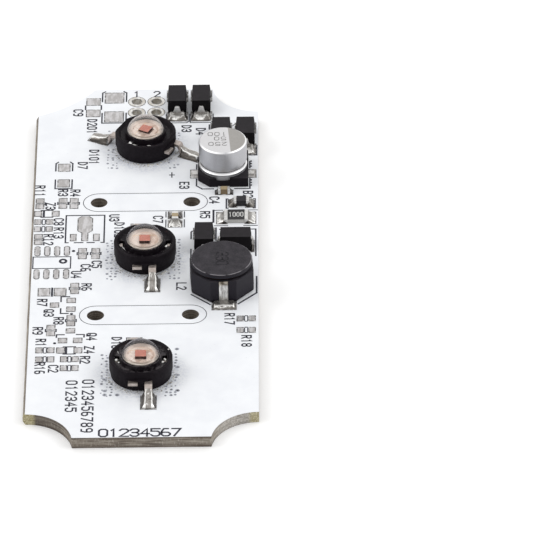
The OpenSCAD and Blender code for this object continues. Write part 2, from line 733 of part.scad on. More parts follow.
module at_coil() on_board(coil_x, coil_y, coil_turn) children();

function octagon(half) =
    [for (i = [0 : 7]) let (a = 22.5 + 45 * i, r = half / cos(22.5)) [r * cos(a), r * sin(a)]];

// Channel in each end face for its terminal
module coil_channels() for (s = [-1, 1]) block(1.2, 0.3, 20, 0, s * (coil_w / 2 - 0.01), 0);

module inductor_base() color([0.1, 0.1, 0.11]) at_coil()
    difference() {
        translate([0, 0, pad_up + 0.15]) linear_extrude(coil_base_t - pad_up - 0.15)
            polygon(octagon(coil_w / 2 - 0.05));
        coil_channels();
    }

module inductor_shield() color([0.2, 0.2, 0.23]) at_coil()
    difference() {
        translate([0, 0, coil_base_t]) linear_extrude(shield_h - coil_base_t) polygon(octagon(coil_w / 2));
        cylinder(d = coil_w - 1, h = 20);
        coil_channels();
    }

module inductor_drum() color([0.25, 0.25, 0.26]) at_coil()
    rotate_extrude()
        polygon([[0, coil_base_t], [lower_flange_r, coil_base_t],
            [lower_flange_r, coil_base_t + lower_flange_t], [core_r, coil_base_t + lower_flange_t],
            [core_r, coil_h - coil_top_t], [coil_w / 2 - 0.08, coil_h - coil_top_t],
            [coil_w / 2 - 0.08, coil_h - 0.08], [coil_w / 2 - 0.17, coil_h], [0, coil_h]]);

module inductor_winding() color([0.7, 0.4, 0.2]) at_coil()
    ring(core_r, lower_flange_r - winding_gap, coil_base_t + lower_flange_t,
        coil_h - coil_top_t - coil_base_t - lower_flange_t - winding_gap);

// Terminal: a strip up the end face, a tail under the base and a wide foot outside
module inductor_terminals() color([0.76, 0.75, 0.73]) at_coil()
    for (s = [0, 180]) rotate([0, 0, s]) {
        block(1.15, 0.15, shield_h - 0.07, 0, -coil_w / 2 + 0.075, pad_up);
        block(2.5, 1.7, 0.15, 0, -coil_w / 2 + 0.15, pad_up);
    }

// Diodes: moulded block with a lead folded down and under at each end

lead_top = 1.5;

module diode_body()
    difference() {
        union() {
            translate([0, 0, 1.1])
                tapered_block(diode_w, diode_l, diode_w - 0.22, diode_l - 0.25, diode_h - 1.1);
            translate([0, 0, 1.1]) mirror([0, 0, 1])
                tapered_block(diode_w, diode_l, diode_w - 0.1, diode_l - 0.12, 1.1 - 0.12);
        }
        for (s = [0, 180]) rotate([0, 0, s]) diode_lead();
    }

// One lead of a diode: out of the end face as a narrow tongue, down, wider at its foot,
// and under the body
module diode_lead() {
    y1 = diode_l / 2 + 0.22;
    t = 0.2;
    intersection() {
        translate([0.75, 0, 0]) rotate([90, 0, -90]) linear_extrude(1.5)
            polygon(concat(
                [[diode_l / 2 - 0.4, lead_top - t], [diode_l / 2 - 0.4, lead_top]],
                arc(y1 - 0.2, lead_top - 0.2, 0.2, 90, 0, 3),
                arc(y1 - 0.2, pad_up + 0.2, 0.2, 0, -90, 3),
                [[diode_l / 2 - 1.1, pad_up], [diode_l / 2 - 1.1, pad_up + 0.1]],
                [[y1 - t - 0.1, pad_up + 0.1]],
                [[y1 - t, pad_up + 0.25], [y1 - t, lead_top - t]]));
        translate([0, 0, -1]) rotate([90, 0, 0]) linear_extrude(20)
            polygon([[-0.75, 0], [0.75, 0], [0.75, 1.25], [0.42, lead_top + 0.45], [0.34, lead_top + 0.8],
                [0.22, lead_top + 1.02], [-0.22, lead_top + 1.02], [-0.34, lead_top + 0.8],
                [-0.42, lead_top + 0.45], [-0.75, 1.25]]);
    }
}

module diode_leads() {
    diode_lead();
    rotate([0, 0, 180]) diode_lead();
}

module rectifier_bodies() color([0.17, 0.16, 0.17])
    for (p = rectifiers) on_board(p[0], p[1]) diode_body();

module rectifier_leads() color([0.75, 0.74, 0.72])
    for (p = rectifiers) on_board(p[0], p[1]) diode_leads();

module driver_diode_bodies() color([0.17, 0.16, 0.17])
    for (p = driver_diodes) on_board(p[0], p[1], p[2]) diode_body();

module driver_diode_leads() color([0.75, 0.74, 0.72])
    for (p = driver_diodes) on_board(p[0], p[1], p[2]) diode_leads();

// A concave fillet of solder against a face at y = 0, standing on a pad towards -y
module fillet(w, l, h)
    translate([w / 2, 0, pad_up]) rotate([90, 0, -90]) linear_extrude(w)
        polygon(concat([[0, 0]], [for (i = [0 : 6]) let (a = 15 * i) [l * (1 - sin(a)), h * (1 - cos(a))]]));

// The fillet at each end of a diode runs out to the end of its pad
module diode_solder() color([0.78, 0.77, 0.75])
    for (p = concat(rectifiers, driver_diodes)) on_board(p[0], p[1], p[2])
        for (s = [0, 1]) rotate([0, 0, 180 * s]) translate([0, -diode_l / 2 - 0.22, 0])
            fillet(diode_w - 0.2, p[3 + s] - diode_l / 2 - 0.25, 0.85);

// Chip parts: a block with a metal cap on each end, lying along X

// The block of a chip, w long with its caps, l wide and h high
module chip_block(w, l, h, cap) block(w - 2 * cap, l, h, 0, 0, pad_up + 0.01);
module chip_caps(w, l, h, cap)
    for (s = [-1, 1]) block(cap, l + 0.02, h + 0.01, s * (w - cap) / 2, 0, pad_up);

module shunt_resistor_body() color([0.12, 0.12, 0.13])
    on_board(shunt_x, shunt_y) chip_block(3.1, 2.35, 0.55, 0.45);
module shunt_resistor_ends() color([0.8, 0.79, 0.77])
    on_board(shunt_x, shunt_y) chip_caps(3.1, 2.35, 0.55, 0.45);

module ferrite_bead_body() color([0.15, 0.15, 0.15])
    on_board(bead_x, bead_y) chip_block(2, 1.2, 0.85, 0.38);
module ferrite_bead_ends() color([0.8, 0.79, 0.77])
    on_board(bead_x, bead_y) chip_caps(2, 1.2, 0.85, 0.38);

module chip_capacitor_bodies() color([0.55, 0.42, 0.25]) {
    on_board(c1_x, c1_y) chip_block(1.6, 0.8, 0.8, 0.36);
    on_board(c2_x, c2_y, 90) chip_block(1.6, 0.85, 0.7, 0.42);
}
module chip_capacitor_ends() color([0.8, 0.79, 0.77]) {
    on_board(c1_x, c1_y) chip_caps(1.6, 0.8, 0.8, 0.36);
    on_board(c2_x, c2_y, 90) chip_caps(1.6, 0.85, 0.7, 0.42);
}

// Fillets at both ends of a chip
module chip_fillets(w, l, run, h)
    for (s = [-90, 90]) rotate([0, 0, s]) translate([0, -w / 2, 0]) fillet(l, run, h);

module chip_solder() color([0.78, 0.77, 0.75]) {
    on_board(shunt_x, shunt_y) chip_fillets(3.1, 2.3, 0.85, 0.45);
    on_board(bead_x, bead_y) chip_fillets(2, 1.3, 0.6, 0.65);
    on_board(c1_x, c1_y) chip_fillets(1.6, 0.85, 0.3, 0.55);
    on_board(c2_x, c2_y, 90) chip_fillets(1.6, 1.3, 0.85, 0.55);
}

module inductor_solder() color([0.78, 0.77, 0.75]) at_coil()
    for (s = [0, 180]) rotate([0, 0, s]) translate([0, -coil_w / 2 - 0.7, 0]) fillet(2.7, 0.55, 0.3);

board_core();
top_copper();
bottom_copper();
top_mask();
bottom_mask();
silkscreen();
bare_pads();
fitted_pads();
wire_hole_barrels();
near_led_body();
near_led_slug();
near_led_chip();
near_led_lens();
near_led_leads();
middle_led_body();
middle_led_slug();
middle_led_chip();
middle_led_lens();
middle_led_leads();
far_led_body();
far_led_slug();
far_led_chip();
far_led_lens();
far_led_leads();
led_solder();
capacitor_can();
capacitor_base();
capacitor_bung();
capacitor_winding();
capacitor_terminals();
inductor_base();
inductor_shield();
inductor_drum();
inductor_winding();
inductor_terminals();
rectifier_bodies();
rectifier_leads();
driver_diode_bodies();
driver_diode_leads();
shunt_resistor_body();
shunt_resistor_ends();
ferrite_bead_body();
ferrite_bead_ends();
chip_capacitor_bodies();
chip_capacitor_ends();
diode_solder();
chip_solder();
inductor_solder();
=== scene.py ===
import math
import random

import bmesh
import bpy
from mathutils import Matrix, Vector, noise


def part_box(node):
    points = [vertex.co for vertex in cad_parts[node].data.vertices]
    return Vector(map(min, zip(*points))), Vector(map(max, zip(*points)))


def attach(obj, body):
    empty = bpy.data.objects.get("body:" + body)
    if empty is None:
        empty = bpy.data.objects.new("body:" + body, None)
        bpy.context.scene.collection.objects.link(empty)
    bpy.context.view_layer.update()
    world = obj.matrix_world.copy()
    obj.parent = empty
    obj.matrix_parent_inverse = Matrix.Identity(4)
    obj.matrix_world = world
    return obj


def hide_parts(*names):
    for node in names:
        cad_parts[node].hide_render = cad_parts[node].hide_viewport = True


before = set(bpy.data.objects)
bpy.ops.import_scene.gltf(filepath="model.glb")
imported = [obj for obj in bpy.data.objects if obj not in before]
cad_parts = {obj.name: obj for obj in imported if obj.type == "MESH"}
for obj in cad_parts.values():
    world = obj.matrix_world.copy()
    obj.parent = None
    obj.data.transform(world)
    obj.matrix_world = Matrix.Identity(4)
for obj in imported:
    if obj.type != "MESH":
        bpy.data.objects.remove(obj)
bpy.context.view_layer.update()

# The look of the LED circuit board. Lengths are in millimetres, in the frame of the packed
# part, and become metres where a mesh is finished.

MM = 0.001


def box_mm(node):
    """The lowest and highest corner of a CAD node, in millimetres."""
    low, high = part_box(node)
    return low / MM, high / MM


def middle(node):
    low, high = box_mm(node)
    return (low + high) / 2


# Heights and places that come from the frame
TOP = box_mm("top_mask")[1].z
BOARD = middle("top_mask")
PAD_TOP = box_mm("fitted_pads")[1].z
CAN = middle("capacitor_can")
CAN_TOP = box_mm("capacitor_can")[1].z
COIL = middle("inductor_drum")
STRIP_TOP = box_mm("inductor_terminals")[1].z
LEDS = ("near", "middle", "far")
LED_TURN = {"near": 0, "middle": 0, "far": 62}
LED_SPOTS = {led: middle(f"{led}_led_body") for led in LEDS}
LED_PITCH = 25.4
MOUNT_PITCH_X = 12.1
COIL_TURN = 3.5
GROOVE_Z = 2.22

# LED dimensions, in the LED's own frame with its height above the board
LED_LEAD_X = 0.98
LED_LEAD_W = 0.96
LED_PAD_Y = 6.25
LED_PAD_HALF_W = 0.975
LED_PAD_HALF_L = 1.45
SLUG_TOP_R = 2.2
CUP_Z = 2.87
CUP_TOP = 3.17
CUP_R = 1.7
SEAT_Z = 2.75
DOME_Z = 2.35
DOME_R = 2.5
DOME_WALL = 0.12
DOME_SIDE_R = 2.37
CHIP_TOP = 3.14
CONTACT_PITCH = 0.22
SMOKE_PER_MM = 0.8
WIRE_R = 0.013
WIRE_LOOP = 0.14


def spin(degrees):
    """A turn about the upright axis."""
    return Matrix.Rotation(math.radians(degrees), 4, "Z")


def at(x, y, z=TOP):
    return Matrix.Translation((x, y, z))


def on_board(x, y):
    """A place on top of the board, given from its middle."""
    return at(BOARD.x + x, BOARD.y + y)


def led_place(name):
    """The frame of an LED, standing on the board."""
    return at(*LED_SPOTS[name].xy) @ spin(LED_TURN[name])


# Colours and materials. A colour is written as a picture shows it, 0 to 255.


def linear(tone):
    """A colour in linear light, with its alpha."""
    shares = [c / 255 for c in tone]
    return (*(((s + 0.055) / 1.055) ** 2.4 if s > 0.04 else s / 12.92 for s in shares), 1.0)


class Nodes:
    """Short calls for the nodes of a tree. Each input is a plain value or another node's output."""

    def __init__(self, tree):
        self.tree = tree

    def join(self, value, socket):
        if isinstance(value, bpy.types.NodeSocket):
            self.tree.links.new(value, socket)
        else:
            socket.default_value = value

    def add(self, kind, inputs=None, **settings):
        node = self.tree.nodes.new("ShaderNode" + kind)
        for name, value in settings.items():
            setattr(node, name, value)
        for key, value in (inputs or {}).items():
            self.join(value, node.inputs[key])
        return node

    def split(self, vector):
        return self.add("SeparateXYZ", {0: vector}).outputs

    def calc(self, operation, a, b=0.0):
        return self.add("Math", {0: a, 1: b}, operation=operation).outputs[0]

    def times(self, a, b):
        return self.calc("MULTIPLY", a, b)

    def vector(self, operation, *inputs):
        return self.add("VectorMath", dict(enumerate(inputs)), operation=operation).outputs

    def span(self, value, start, end, low=0.0, high=1.0, shape="LINEAR"):
        """Value from start to end becomes low to high, and stays there outside."""
        inputs = {"Value": value, "From Min": start, "From Max": end, "To Min": low, "To Max": high}
        return self.add("MapRange", inputs, interpolation_type=shape).outputs[0]

    def seen_directly(self):
        """1 for rays from the camera, from gloss and through glass, 0 for light on rough surfaces."""
        rays = self.add("LightPath").outputs
        indirect = self.calc("MAXIMUM", rays["Is Glossy Ray"], rays["Is Transmission Ray"])
        return self.calc("MAXIMUM", rays["Is Camera Ray"], indirect)


class Finish(Nodes):
    """A procedural material."""

    def __init__(self, name, roughness=0.5, metallic=0.0, specular=0.5):
        self.material = bpy.data.materials.new(name)
        self.material.use_nodes = True
        super().__init__(self.material.node_tree)
        self.shader = self.tree.nodes["Principled BSDF"]
        self.feed("Roughness", roughness)
        self.feed("Metallic", metallic)
        self.feed("Specular IOR Level", specular)

    def feed(self, socket, value):
        self.join(value, self.shader.inputs[socket])

    def paint(self, colour):
        self.feed("Base Color", colour)

    def bump(self, height, depth, strength=1.0):
        """Relief of that depth in millimetres."""
        inputs = {"Height": height, "Distance": depth * MM, "Strength": strength}
        self.feed("Normal", self.add("Bump", inputs).outputs[0])

    def place(self, centre=(0, 0, 0), stretch=(1, 1, 1)):
        """The place on the object in millimetres from a centre, stretched along the axes."""
        where = self.add("TexCoord").outputs["Object"]
        scale = [s / MM for s in stretch]
        shift = [-c * s for c, s in zip(centre, stretch)]
        return self.vector("MULTIPLY_ADD", where, scale, shift)[0]

    def height(self):
        return self.split(self.place())[2]

    def turned(self, place, degrees):
        """A place in a frame that is turned about the upright axis."""
        inputs = {"Vector": place, "Angle": -math.radians(degrees)}
        return self.add("VectorRotate", inputs, rotation_type="Z_AXIS").outputs[0]

    def noise(self, scale, detail=2, rough=0.5, place=None, **stretched):
        if place is None:
            place = self.place(**stretched)
        inputs = {"Vector": place, "Scale": scale, "Detail": detail, "Roughness": rough}
        return self.add("TexNoise", inputs).outputs[0]

    def cells(self, scale):
        return self.add("TexVoronoi", {"Vector": self.place(), "Scale": scale}).outputs[0]

    def blend(self, factor, a, b, mode="MIX"):
        """Two colours mixed, each a tone or a node's output."""
        a, b = (linear(c) if isinstance(c, tuple) else c for c in (a, b))
        node = self.add("Mix", {0: factor, 6: a, 7: b}, data_type="RGBA", blend_type=mode)
        return node.outputs[2]

    def grade(self, value, start, end, a, b, most=1.0):
        """Colour a up to the start of a span of a value, and b, or a share of it, past the end."""
        return self.blend(self.span(value, start, end, 0.0, most), a, b)

    def radius(self, centre):
        """Distance from an upright axis through a centre."""
        return self.vector("LENGTH", self.place(centre, (1, 1, 0)))["Value"]

    def normal(self):
        return self.add("NewGeometry").outputs["Normal"]

    def facing_up(self):
        """1 where the surface faces up, 0 where it stands upright."""
        return self.split(self.normal())[2]


def mottled_finish(name, tones, pattern, edges=(0, 1), relief=0.01, stretch=(1, 1, 1), grain=None, **shine):
    """Two tones mixed by a noise, with the relief of that noise or of a finer grain."""
    f = Finish(name, **shine)
    patches = f.noise(*pattern, stretch=stretch)
    f.paint(f.blend(f.span(patches, *edges), *tones))
    f.bump(f.noise(*grain) if grain else patches, relief)
    return f


def mask_finish(name, shaded):
    """White solder mask: nearly even, with faint clouds, specks and a cool shade round the LEDs."""
    f = Finish(name, 0.4, specular=0.3)
    colour = f.grade(f.noise(0.35, 3), 0.35, 0.65, (240, 242, 246), (246, 248, 251))
    grain = f.span(f.noise(3.5, 3, 0.65), 0.42, 0.62)
    dirt_and_painted_shade = f.span(f.noise(4.5, 4, 0.7), 0.5, 0.6)
    for led in shaded:
        radius = f.radius(LED_SPOTS[led])
        ring = f.times(f.span(radius, 4, 6.4, 0.75, 0), grain)
        colour = f.blend(ring, colour, (196, 202, 217))
        near = f.times(f.span(radius, 4.05, 4.75, 0.8, 0), dirt_and_painted_shade)
        colour = f.blend(near, colour, (150, 146, 138))
    speck = f.span(f.cells(1.1), 0.035, 0.06, 0.4, 0)
    f.paint(f.blend(speck, colour, (176, 178, 186)))
    f.bump(f.noise(2.2, 3), 0.012, 0.6)
    return f


def laminate_finish():
    """Glass-fibre laminate: resin in thin level layers, brownish, with dark cracks, darker near its top and
    bottom, partly at the copper layers and partly as painted shade, and painted shade on its hole walls.
    """
    f = Finish("laminate", 0.75, specular=0.25)
    layers = f.noise(1, 3, 0.6, stretch=(0.35, 0.35, 9))
    colour = f.grade(layers, 0.35, 0.65, (108, 97, 86), (184, 176, 164))
    fibres = f.noise(1, 2, stretch=(6, 6, 1.5))
    colour = f.grade(fibres, 0.56, 0.72, colour, (216, 211, 200), 0.6)
    x, y, z = f.split(f.place((BOARD.x, BOARD.y, 0)))
    # The edge is darker towards its top and its bottom, partly where the copper layers lie and partly as
    # painted shade
    for start, end in ((TOP - 0.4, TOP - 0.12), (0.5, 0.15)):
        colour = f.grade(z, start, end, colour, (76, 64, 56), 0.6)
    cracks = f.noise(1, 3, 0.6, stretch=(0.3, 0.3, 8))
    colour = f.grade(cracks, 0.54, 0.66, colour, (70, 60, 54), 0.75)
    # Painted shade on the walls of the mounting holes
    for side_x in (-1, 1):
        for side_y in (-1, 1):
            hole = LED_SPOTS["middle"] + Vector((side_x * MOUNT_PITCH_X / 2, side_y * LED_PITCH / 2, 0))
            colour = f.blend(f.span(f.radius(hole), 1.3, 1.6, 0.5, 0), colour, (62, 52, 42))
    # At the near end the right notch wall carries a painted highlight and the left one painted
    # shade, and bare resin shows at the outer end of both
    near_end = f.span(y, -33.4, -34)
    speckle = f.span(f.noise(5, 3, 0.7), 0.4, 0.6)
    outer = f.span(f.calc("ABSOLUTE", x), 13.2, 13.7, 0, 0.8)
    for share, mark in (
        (f.span(x, 8.6, 10.2, 0, 0.55), f.blend(speckle, (176, 170, 162), (238, 235, 230))),
        (f.span(x, -8.6, -10.2, 0, 0.45), (62, 54, 48)),
        (outer, f.blend(speckle, (160, 148, 104), (222, 214, 176))),
    ):
        colour = f.blend(f.times(near_end, share), colour, mark)
    f.paint(colour)
    f.bump(f.calc("ADD", layers, fibres), 0.03, 0.8)
    return f


def pad_finish(name, clean, worn):
    """Tin on a pad: level but uneven at close range, dull at places."""
    f = Finish(name, metallic=0.85)
    pools = f.noise(1, 2, stretch=(2.2, 0.7, 1))
    f.paint(f.grade(pools, 0.4, 0.6, worn, clean))
    f.feed("Roughness", f.span(f.noise(5, 3), 0.3, 0.7, 0.28, 0.6))
    f.bump(pools, 0.06, 0.8)
    return f


def ink_and_shade_finish(name, dark, pale):
    """Stamped ink, and the painted shade round the pads: dark, with paler breaks."""
    pattern, edges = (1.8, 4, 0.7), (0.48, 0.62)
    return mottled_finish(name, (dark, pale), pattern, edges, roughness=0.7, specular=0.2)


def via_finish(name, pale, dark):
    return mottled_finish(name, (pale, dark), (2.5, 3), (0.4, 0.65), grain=(8, 2),
        roughness=0.45, metallic=0.3)


def moulding_finish(name, side, top, grain=9):
    """Black moulding compound: matt on its sides, finely grained on top, and painted a little paler there
    as sheen.
    """
    f = Finish(name, specular=0.14)
    # Painted sheen: the top is a little paler than the sides
    level = f.span(f.facing_up(), 0.25, 0.9)
    dust = f.span(f.noise(1.3, 4, 0.6), 0.35, 0.7)
    dusty = tuple(1.28 * c for c in top)
    f.paint(f.blend(level, side, f.blend(dust, top, dusty)))
    f.feed("Roughness", f.span(level, 0, 1, 0.75, 0.5))
    f.bump(f.noise(grain, 2), 0.008)
    return f


def led_black_finish(name, centre, smear_and_sheen_share):
    """The LED's black moulding: its bowl is glossier, with dull grey smears that are partly silicone and
    partly painted reflection.
    """
    f = Finish(name, specular=0.11)
    bowl = f.times(f.span(f.radius(centre), 3.5, 3.2), f.span(f.facing_up(), 0, 0.4))
    colour = f.grade(f.noise(2.5, 3), 0.35, 0.65, (17, 12, 17), (26, 21, 26))
    # Grey smears in the bowl, partly painted reflection
    smears_and_sheen = f.span(f.noise(2, 5, 0.7), 0.66 - smear_and_sheen_share, 0.8 - smear_and_sheen_share)
    smears_and_sheen = f.times(bowl, smears_and_sheen)
    f.paint(f.blend(smears_and_sheen, colour, (88, 84, 86)))
    f.feed("Roughness", f.span(bowl, 0, 1, 0.6, 0.34))
    f.bump(f.calc("ADD", f.noise(12, 2), smears_and_sheen), 0.012)
    return f


def cup_finish(name, centre, turn, marred):
    """The silvered cup: pinkish, with painted highlights on its rim, its sides and the left of its floor,
    and a marred floor.
    """
    f = Finish(name, metallic=0.5)
    place = f.place(centre)
    radius = f.radius(centre)
    cloud = f.noise(1.6, 3, place=place)
    x, y, z = f.split(place)
    floor = f.grade(cloud, 0.38, 0.62, (214, 190, 176), (236, 218, 208))
    # Painted glint: the floor is paler on its left
    floor = f.grade(x, -0.4, -1, floor, (250, 236, 228))
    curls = f.noise(9, 2, place=f.noise(0.8, 2, place=place))
    floor = f.grade(curls, 0.52, 0.6, floor, (255, 252, 250), marred)
    floor = f.grade(curls, 0.46, 0.4, floor, (176, 138, 122), marred)
    # Painted shadow on the floor right before the chip
    chip_x, chip_y, _ = f.split(f.turned(place, turn))
    painted_chip_shadow = f.times(f.span(chip_y, -0.98, -0.9), f.span(f.calc("ABSOLUTE", chip_x), 0.74, 0.68))
    floor = f.blend(f.times(painted_chip_shadow, f.span(chip_y, 0, -0.1)), floor, (104, 84, 78))
    # The sloping wall is greyer, with a painted highlight at its sides and at its back, and the rim a
    # painted highlight at its sides
    sloping = f.grade(cloud, 0.4, 0.6, (172, 158, 151), (194, 180, 174))
    beside = f.span(f.calc("ABSOLUTE", x), 0.7, 1.7)
    wall_highlight = f.calc("MAXIMUM", beside, f.span(y, 0.5, 2, 0, 0.4))
    sloping = f.blend(wall_highlight, sloping, (250, 238, 230))
    wall = f.grade(radius, CUP_R - 0.05, CUP_R + 0.1, floor, sloping)
    rim = f.blend(beside, (206, 190, 178), (250, 240, 230))
    colour = f.grade(radius, SLUG_TOP_R - 0.2, SLUG_TOP_R - 0.14, wall, rim)
    # Painted glow: a bright ring at the foot of the slug
    foot_z = TOP + CUP_Z - centre.z
    glow = f.times(f.span(radius, 2.1, 2.13), f.span(z, foot_z + 0.2, foot_z + 0.1))
    colour = f.blend(glow, colour, (255, 252, 246))
    # Turning marks
    rings = f.noise(5, 2, place=f.add("CombineXYZ", {0: radius}).outputs[0])
    f.paint(f.grade(rings, 0.45, 0.75, colour, (196, 172, 158), 0.3))
    f.feed("Roughness", f.span(f.noise(4, 2, place=place), 0.3, 0.7, 0.36, 0.5))
    f.bump(rings, 0.01)
    return f


def chip_finish(name, centre, turn):
    """The chip: salmon, with the faint pale lines of its top contact, and painted shade on its sides."""
    f = Finish(name, 0.4, specular=0.4)
    place = f.place(centre)
    across = f.calc("FRACT", f.calc("DIVIDE", f.split(f.turned(place, turn))[1], CONTACT_PITCH))
    lines = f.span(f.calc("ABSOLUTE", f.calc("SUBTRACT", across, 0.5)), 0.3, 0.46)
    colour = f.grade(f.noise(2, 3, place=place), 0.35, 0.65, (178, 104, 90), (198, 126, 112))
    colour = f.blend(f.times(lines, 0.4), colour, (224, 180, 166))
    # Painted shade on the sides of the chip
    f.paint(f.grade(f.facing_up(), 0.3, 0.7, (80, 62, 57), colour))
    f.bump(lines, 0.004)
    return f


def lens_finish(name, haze, tint):
    """Clear dome with a faint smoke in its wall, and a haze where it is seen edge on."""
    clear = (254, 253, 251)
    f = Finish(name, 0.03)
    f.feed("IOR", 1.045)
    edge_on = f.add("LayerWeight", {"Blend": 0.5}).outputs["Facing"]
    f.feed("Transmission Weight", f.span(edge_on, 0.3, 0.95, 1, 1 - haze))
    f.paint(f.grade(edge_on, 0.3, 0.6, clear, tint))
    f.bump(f.noise(0.7, 1), 0.006, 0.5)
    inputs = {"Color": (0.06, 0.05, 0.06, 1), "Density": SMOKE_PER_MM / MM}
    smoke = f.add("VolumeAbsorption", inputs).outputs[0]
    f.join(smoke, f.tree.nodes["Material Output"].inputs["Volume"])
    return f


def lead_finish(name, colour, streak):
    """Tinned sheet metal with faint drawn streaks and dull patches."""
    f = Finish(name, metallic=0.9)
    dull = f.noise(2.2, 3)
    f.paint(f.grade(dull, 0.35, 0.7, colour, streak))
    f.feed("Roughness", f.span(dull, 0.3, 0.7, 0.3, 0.5))
    f.bump(f.noise(1, 3, stretch=(9, 1.5, 9)), 0.015)
    return f


def solder_finish():
    """Smooth solder: grey where it lies level, with a painted highlight over its shoulders, painted shade
    down its flanks and painted shade higher up.
    """
    f = Finish("solder", metallic=0.8)
    skin = f.noise(1.6, 3, 0.6)
    # Painted reflection: the colour follows the slope of the skin
    tilt = f.calc("ADD", f.facing_up(), f.span(skin, 0.3, 0.7, -0.09, 0.09))
    flank = f.grade(tilt, 0.3, 0.7, (52, 48, 46), (124, 120, 115))
    shoulder = f.grade(tilt, 0.75, 0.81, flank, (252, 251, 248))
    level = f.grade(skin, 0.35, 0.65, (150, 147, 143), (190, 188, 184))
    colour = f.grade(tilt, 0.84, 0.92, shoulder, level)
    # Painted shade higher up
    f.paint(f.grade(f.height(), TOP + 0.25, TOP + 0.42, colour, (104, 100, 96), 0.6))
    f.feed("Roughness", f.span(f.noise(2.5, 2), 0.35, 0.7, 0.22, 0.42))
    f.bump(skin, 0.05, 0.5)
    return f


def strip_finish():
    """Tinned strip with upright streaks, darker and brownish towards its top, where it is folded over."""
    f = Finish("inductor_strip", 0.36, 0.8)
    streaks = f.noise(1, 4, 0.65, stretch=(4, 4, 0.7))
    colour = f.grade(streaks, 0.36, 0.62, (158, 156, 153), (242, 241, 238))
    top_tone = f.grade(f.noise(2.4, 3), 0.4, 0.6, (96, 88, 76), (188, 180, 166))
    f.paint(f.grade(f.height(), STRIP_TOP - 0.75, STRIP_TOP - 0.35, colour, top_tone))
    f.bump(streaks, 0.03)
    return f


def led_solder_finish(name, turn):
    """Solder on an LED's leads: a grey crest between two painted highlights on its shoulders, painted shade
    down its flanks and at its foot.
    """
    f = Finish(name, metallic=0.8)
    sideways = f.vector("DOT_PRODUCT", f.normal(), spin(turn).col[0].xyz)["Value"]
    skin = f.noise(1.3, 3, 0.6)
    drawn = f.vector("MULTIPLY", f.turned(f.place(), turn), (7, 0.8, 2))[0]
    streaks = f.noise(1, 3, 0.6, place=drawn)
    # Painted reflection: the colour follows how far the skin leans sideways
    tilt = f.calc("ADD", f.calc("ABSOLUTE", sideways), f.span(skin, 0.3, 0.7, -0.07, 0.07))
    crest = f.grade(streaks, 0.3, 0.7, (128, 123, 118), (178, 174, 169))
    shoulder = f.grade(tilt, 0.08, 0.2, crest, (252, 251, 248))
    flank = f.grade(streaks, 0.35, 0.65, (54, 50, 47), (112, 107, 102))
    colour = f.grade(tilt, 0.48, 0.68, shoulder, flank)
    # Painted shade low down at the foot
    f.paint(f.grade(f.height(), TOP + 0.26, TOP + 0.1, colour, (70, 66, 62), 0.75))
    f.feed("Roughness", f.span(skin, 0.35, 0.7, 0.22, 0.42))
    f.bump(streaks, 0.03, 0.5)
    return f


def can_finish():
    """Aluminium can: drawn sides with fine upright streaks, and a darker printed segment on top."""
    f = Finish("can_aluminium")
    place = f.place(CAN)
    x, y, z = f.split(place)
    shoulder_z = TOP + GROOVE_Z + 0.23 - CAN.z
    around = f.add("CombineXYZ", {0: f.calc("ARCTAN2", y, x)}).outputs[0]
    streaks = f.noise(26, 4, 0.7, place=around)
    mottle = f.noise(5, 4, 0.7, place=place)
    side = f.grade(streaks, 0.3, 0.7, (182, 182, 186), (194, 194, 197))
    side = f.grade(mottle, 0.35, 0.65, side, (170, 170, 174), 0.4)
    top = f.blend(mottle, (208, 207, 208), (226, 225, 226))
    segment = f.blend(mottle, (150, 147, 143), (178, 175, 171))
    slanted_x = f.calc("ADD", x, f.times(y, 0.07))
    top = f.grade(slanted_x, 0.84, 0.9, top, segment)
    # Painted highlights on the rounded edges: the lower ones all round, the top one only on the sides
    # towards the left front, the right front and the right
    outward = f.vector("NORMALIZE", f.place(CAN, (1, 1, 0)))[0]
    below = f.span(z, shoulder_z, shoulder_z - 0.1)
    gleam = below
    for towards in ((-0.6, -0.8, 0), (0.8, -0.6, 0), (0.98, 0.2, 0)):
        highlit = f.span(f.vector("DOT_PRODUCT", outward, towards)["Value"], 0.66, 0.93)
        gleam = f.calc("MAXIMUM", highlit, gleam)
    tilt = f.facing_up()
    rounded = f.blend(f.times(f.span(tilt, 0.3, 0.5), gleam), side, (252, 252, 252))
    groove = f.times(f.span(f.radius(CAN), 3.06, 3), below)
    rounded = f.blend(groove, rounded, (189, 188, 190))
    level = f.span(tilt, 0.9, 0.99)
    f.paint(f.blend(level, rounded, top))
    dull = f.span(z, shoulder_z - 0.95, shoulder_z - 1)
    metal = f.calc("SUBTRACT", f.span(level, 0, 1, 0.9, 0.5), dull)
    f.feed("Metallic", f.calc("MAXIMUM", metal, 0))
    f.feed("Roughness", f.span(level, 0, 1, 0.4, 0.5))
    f.bump(f.calc("ADD", streaks, mottle), 0.008)
    return f


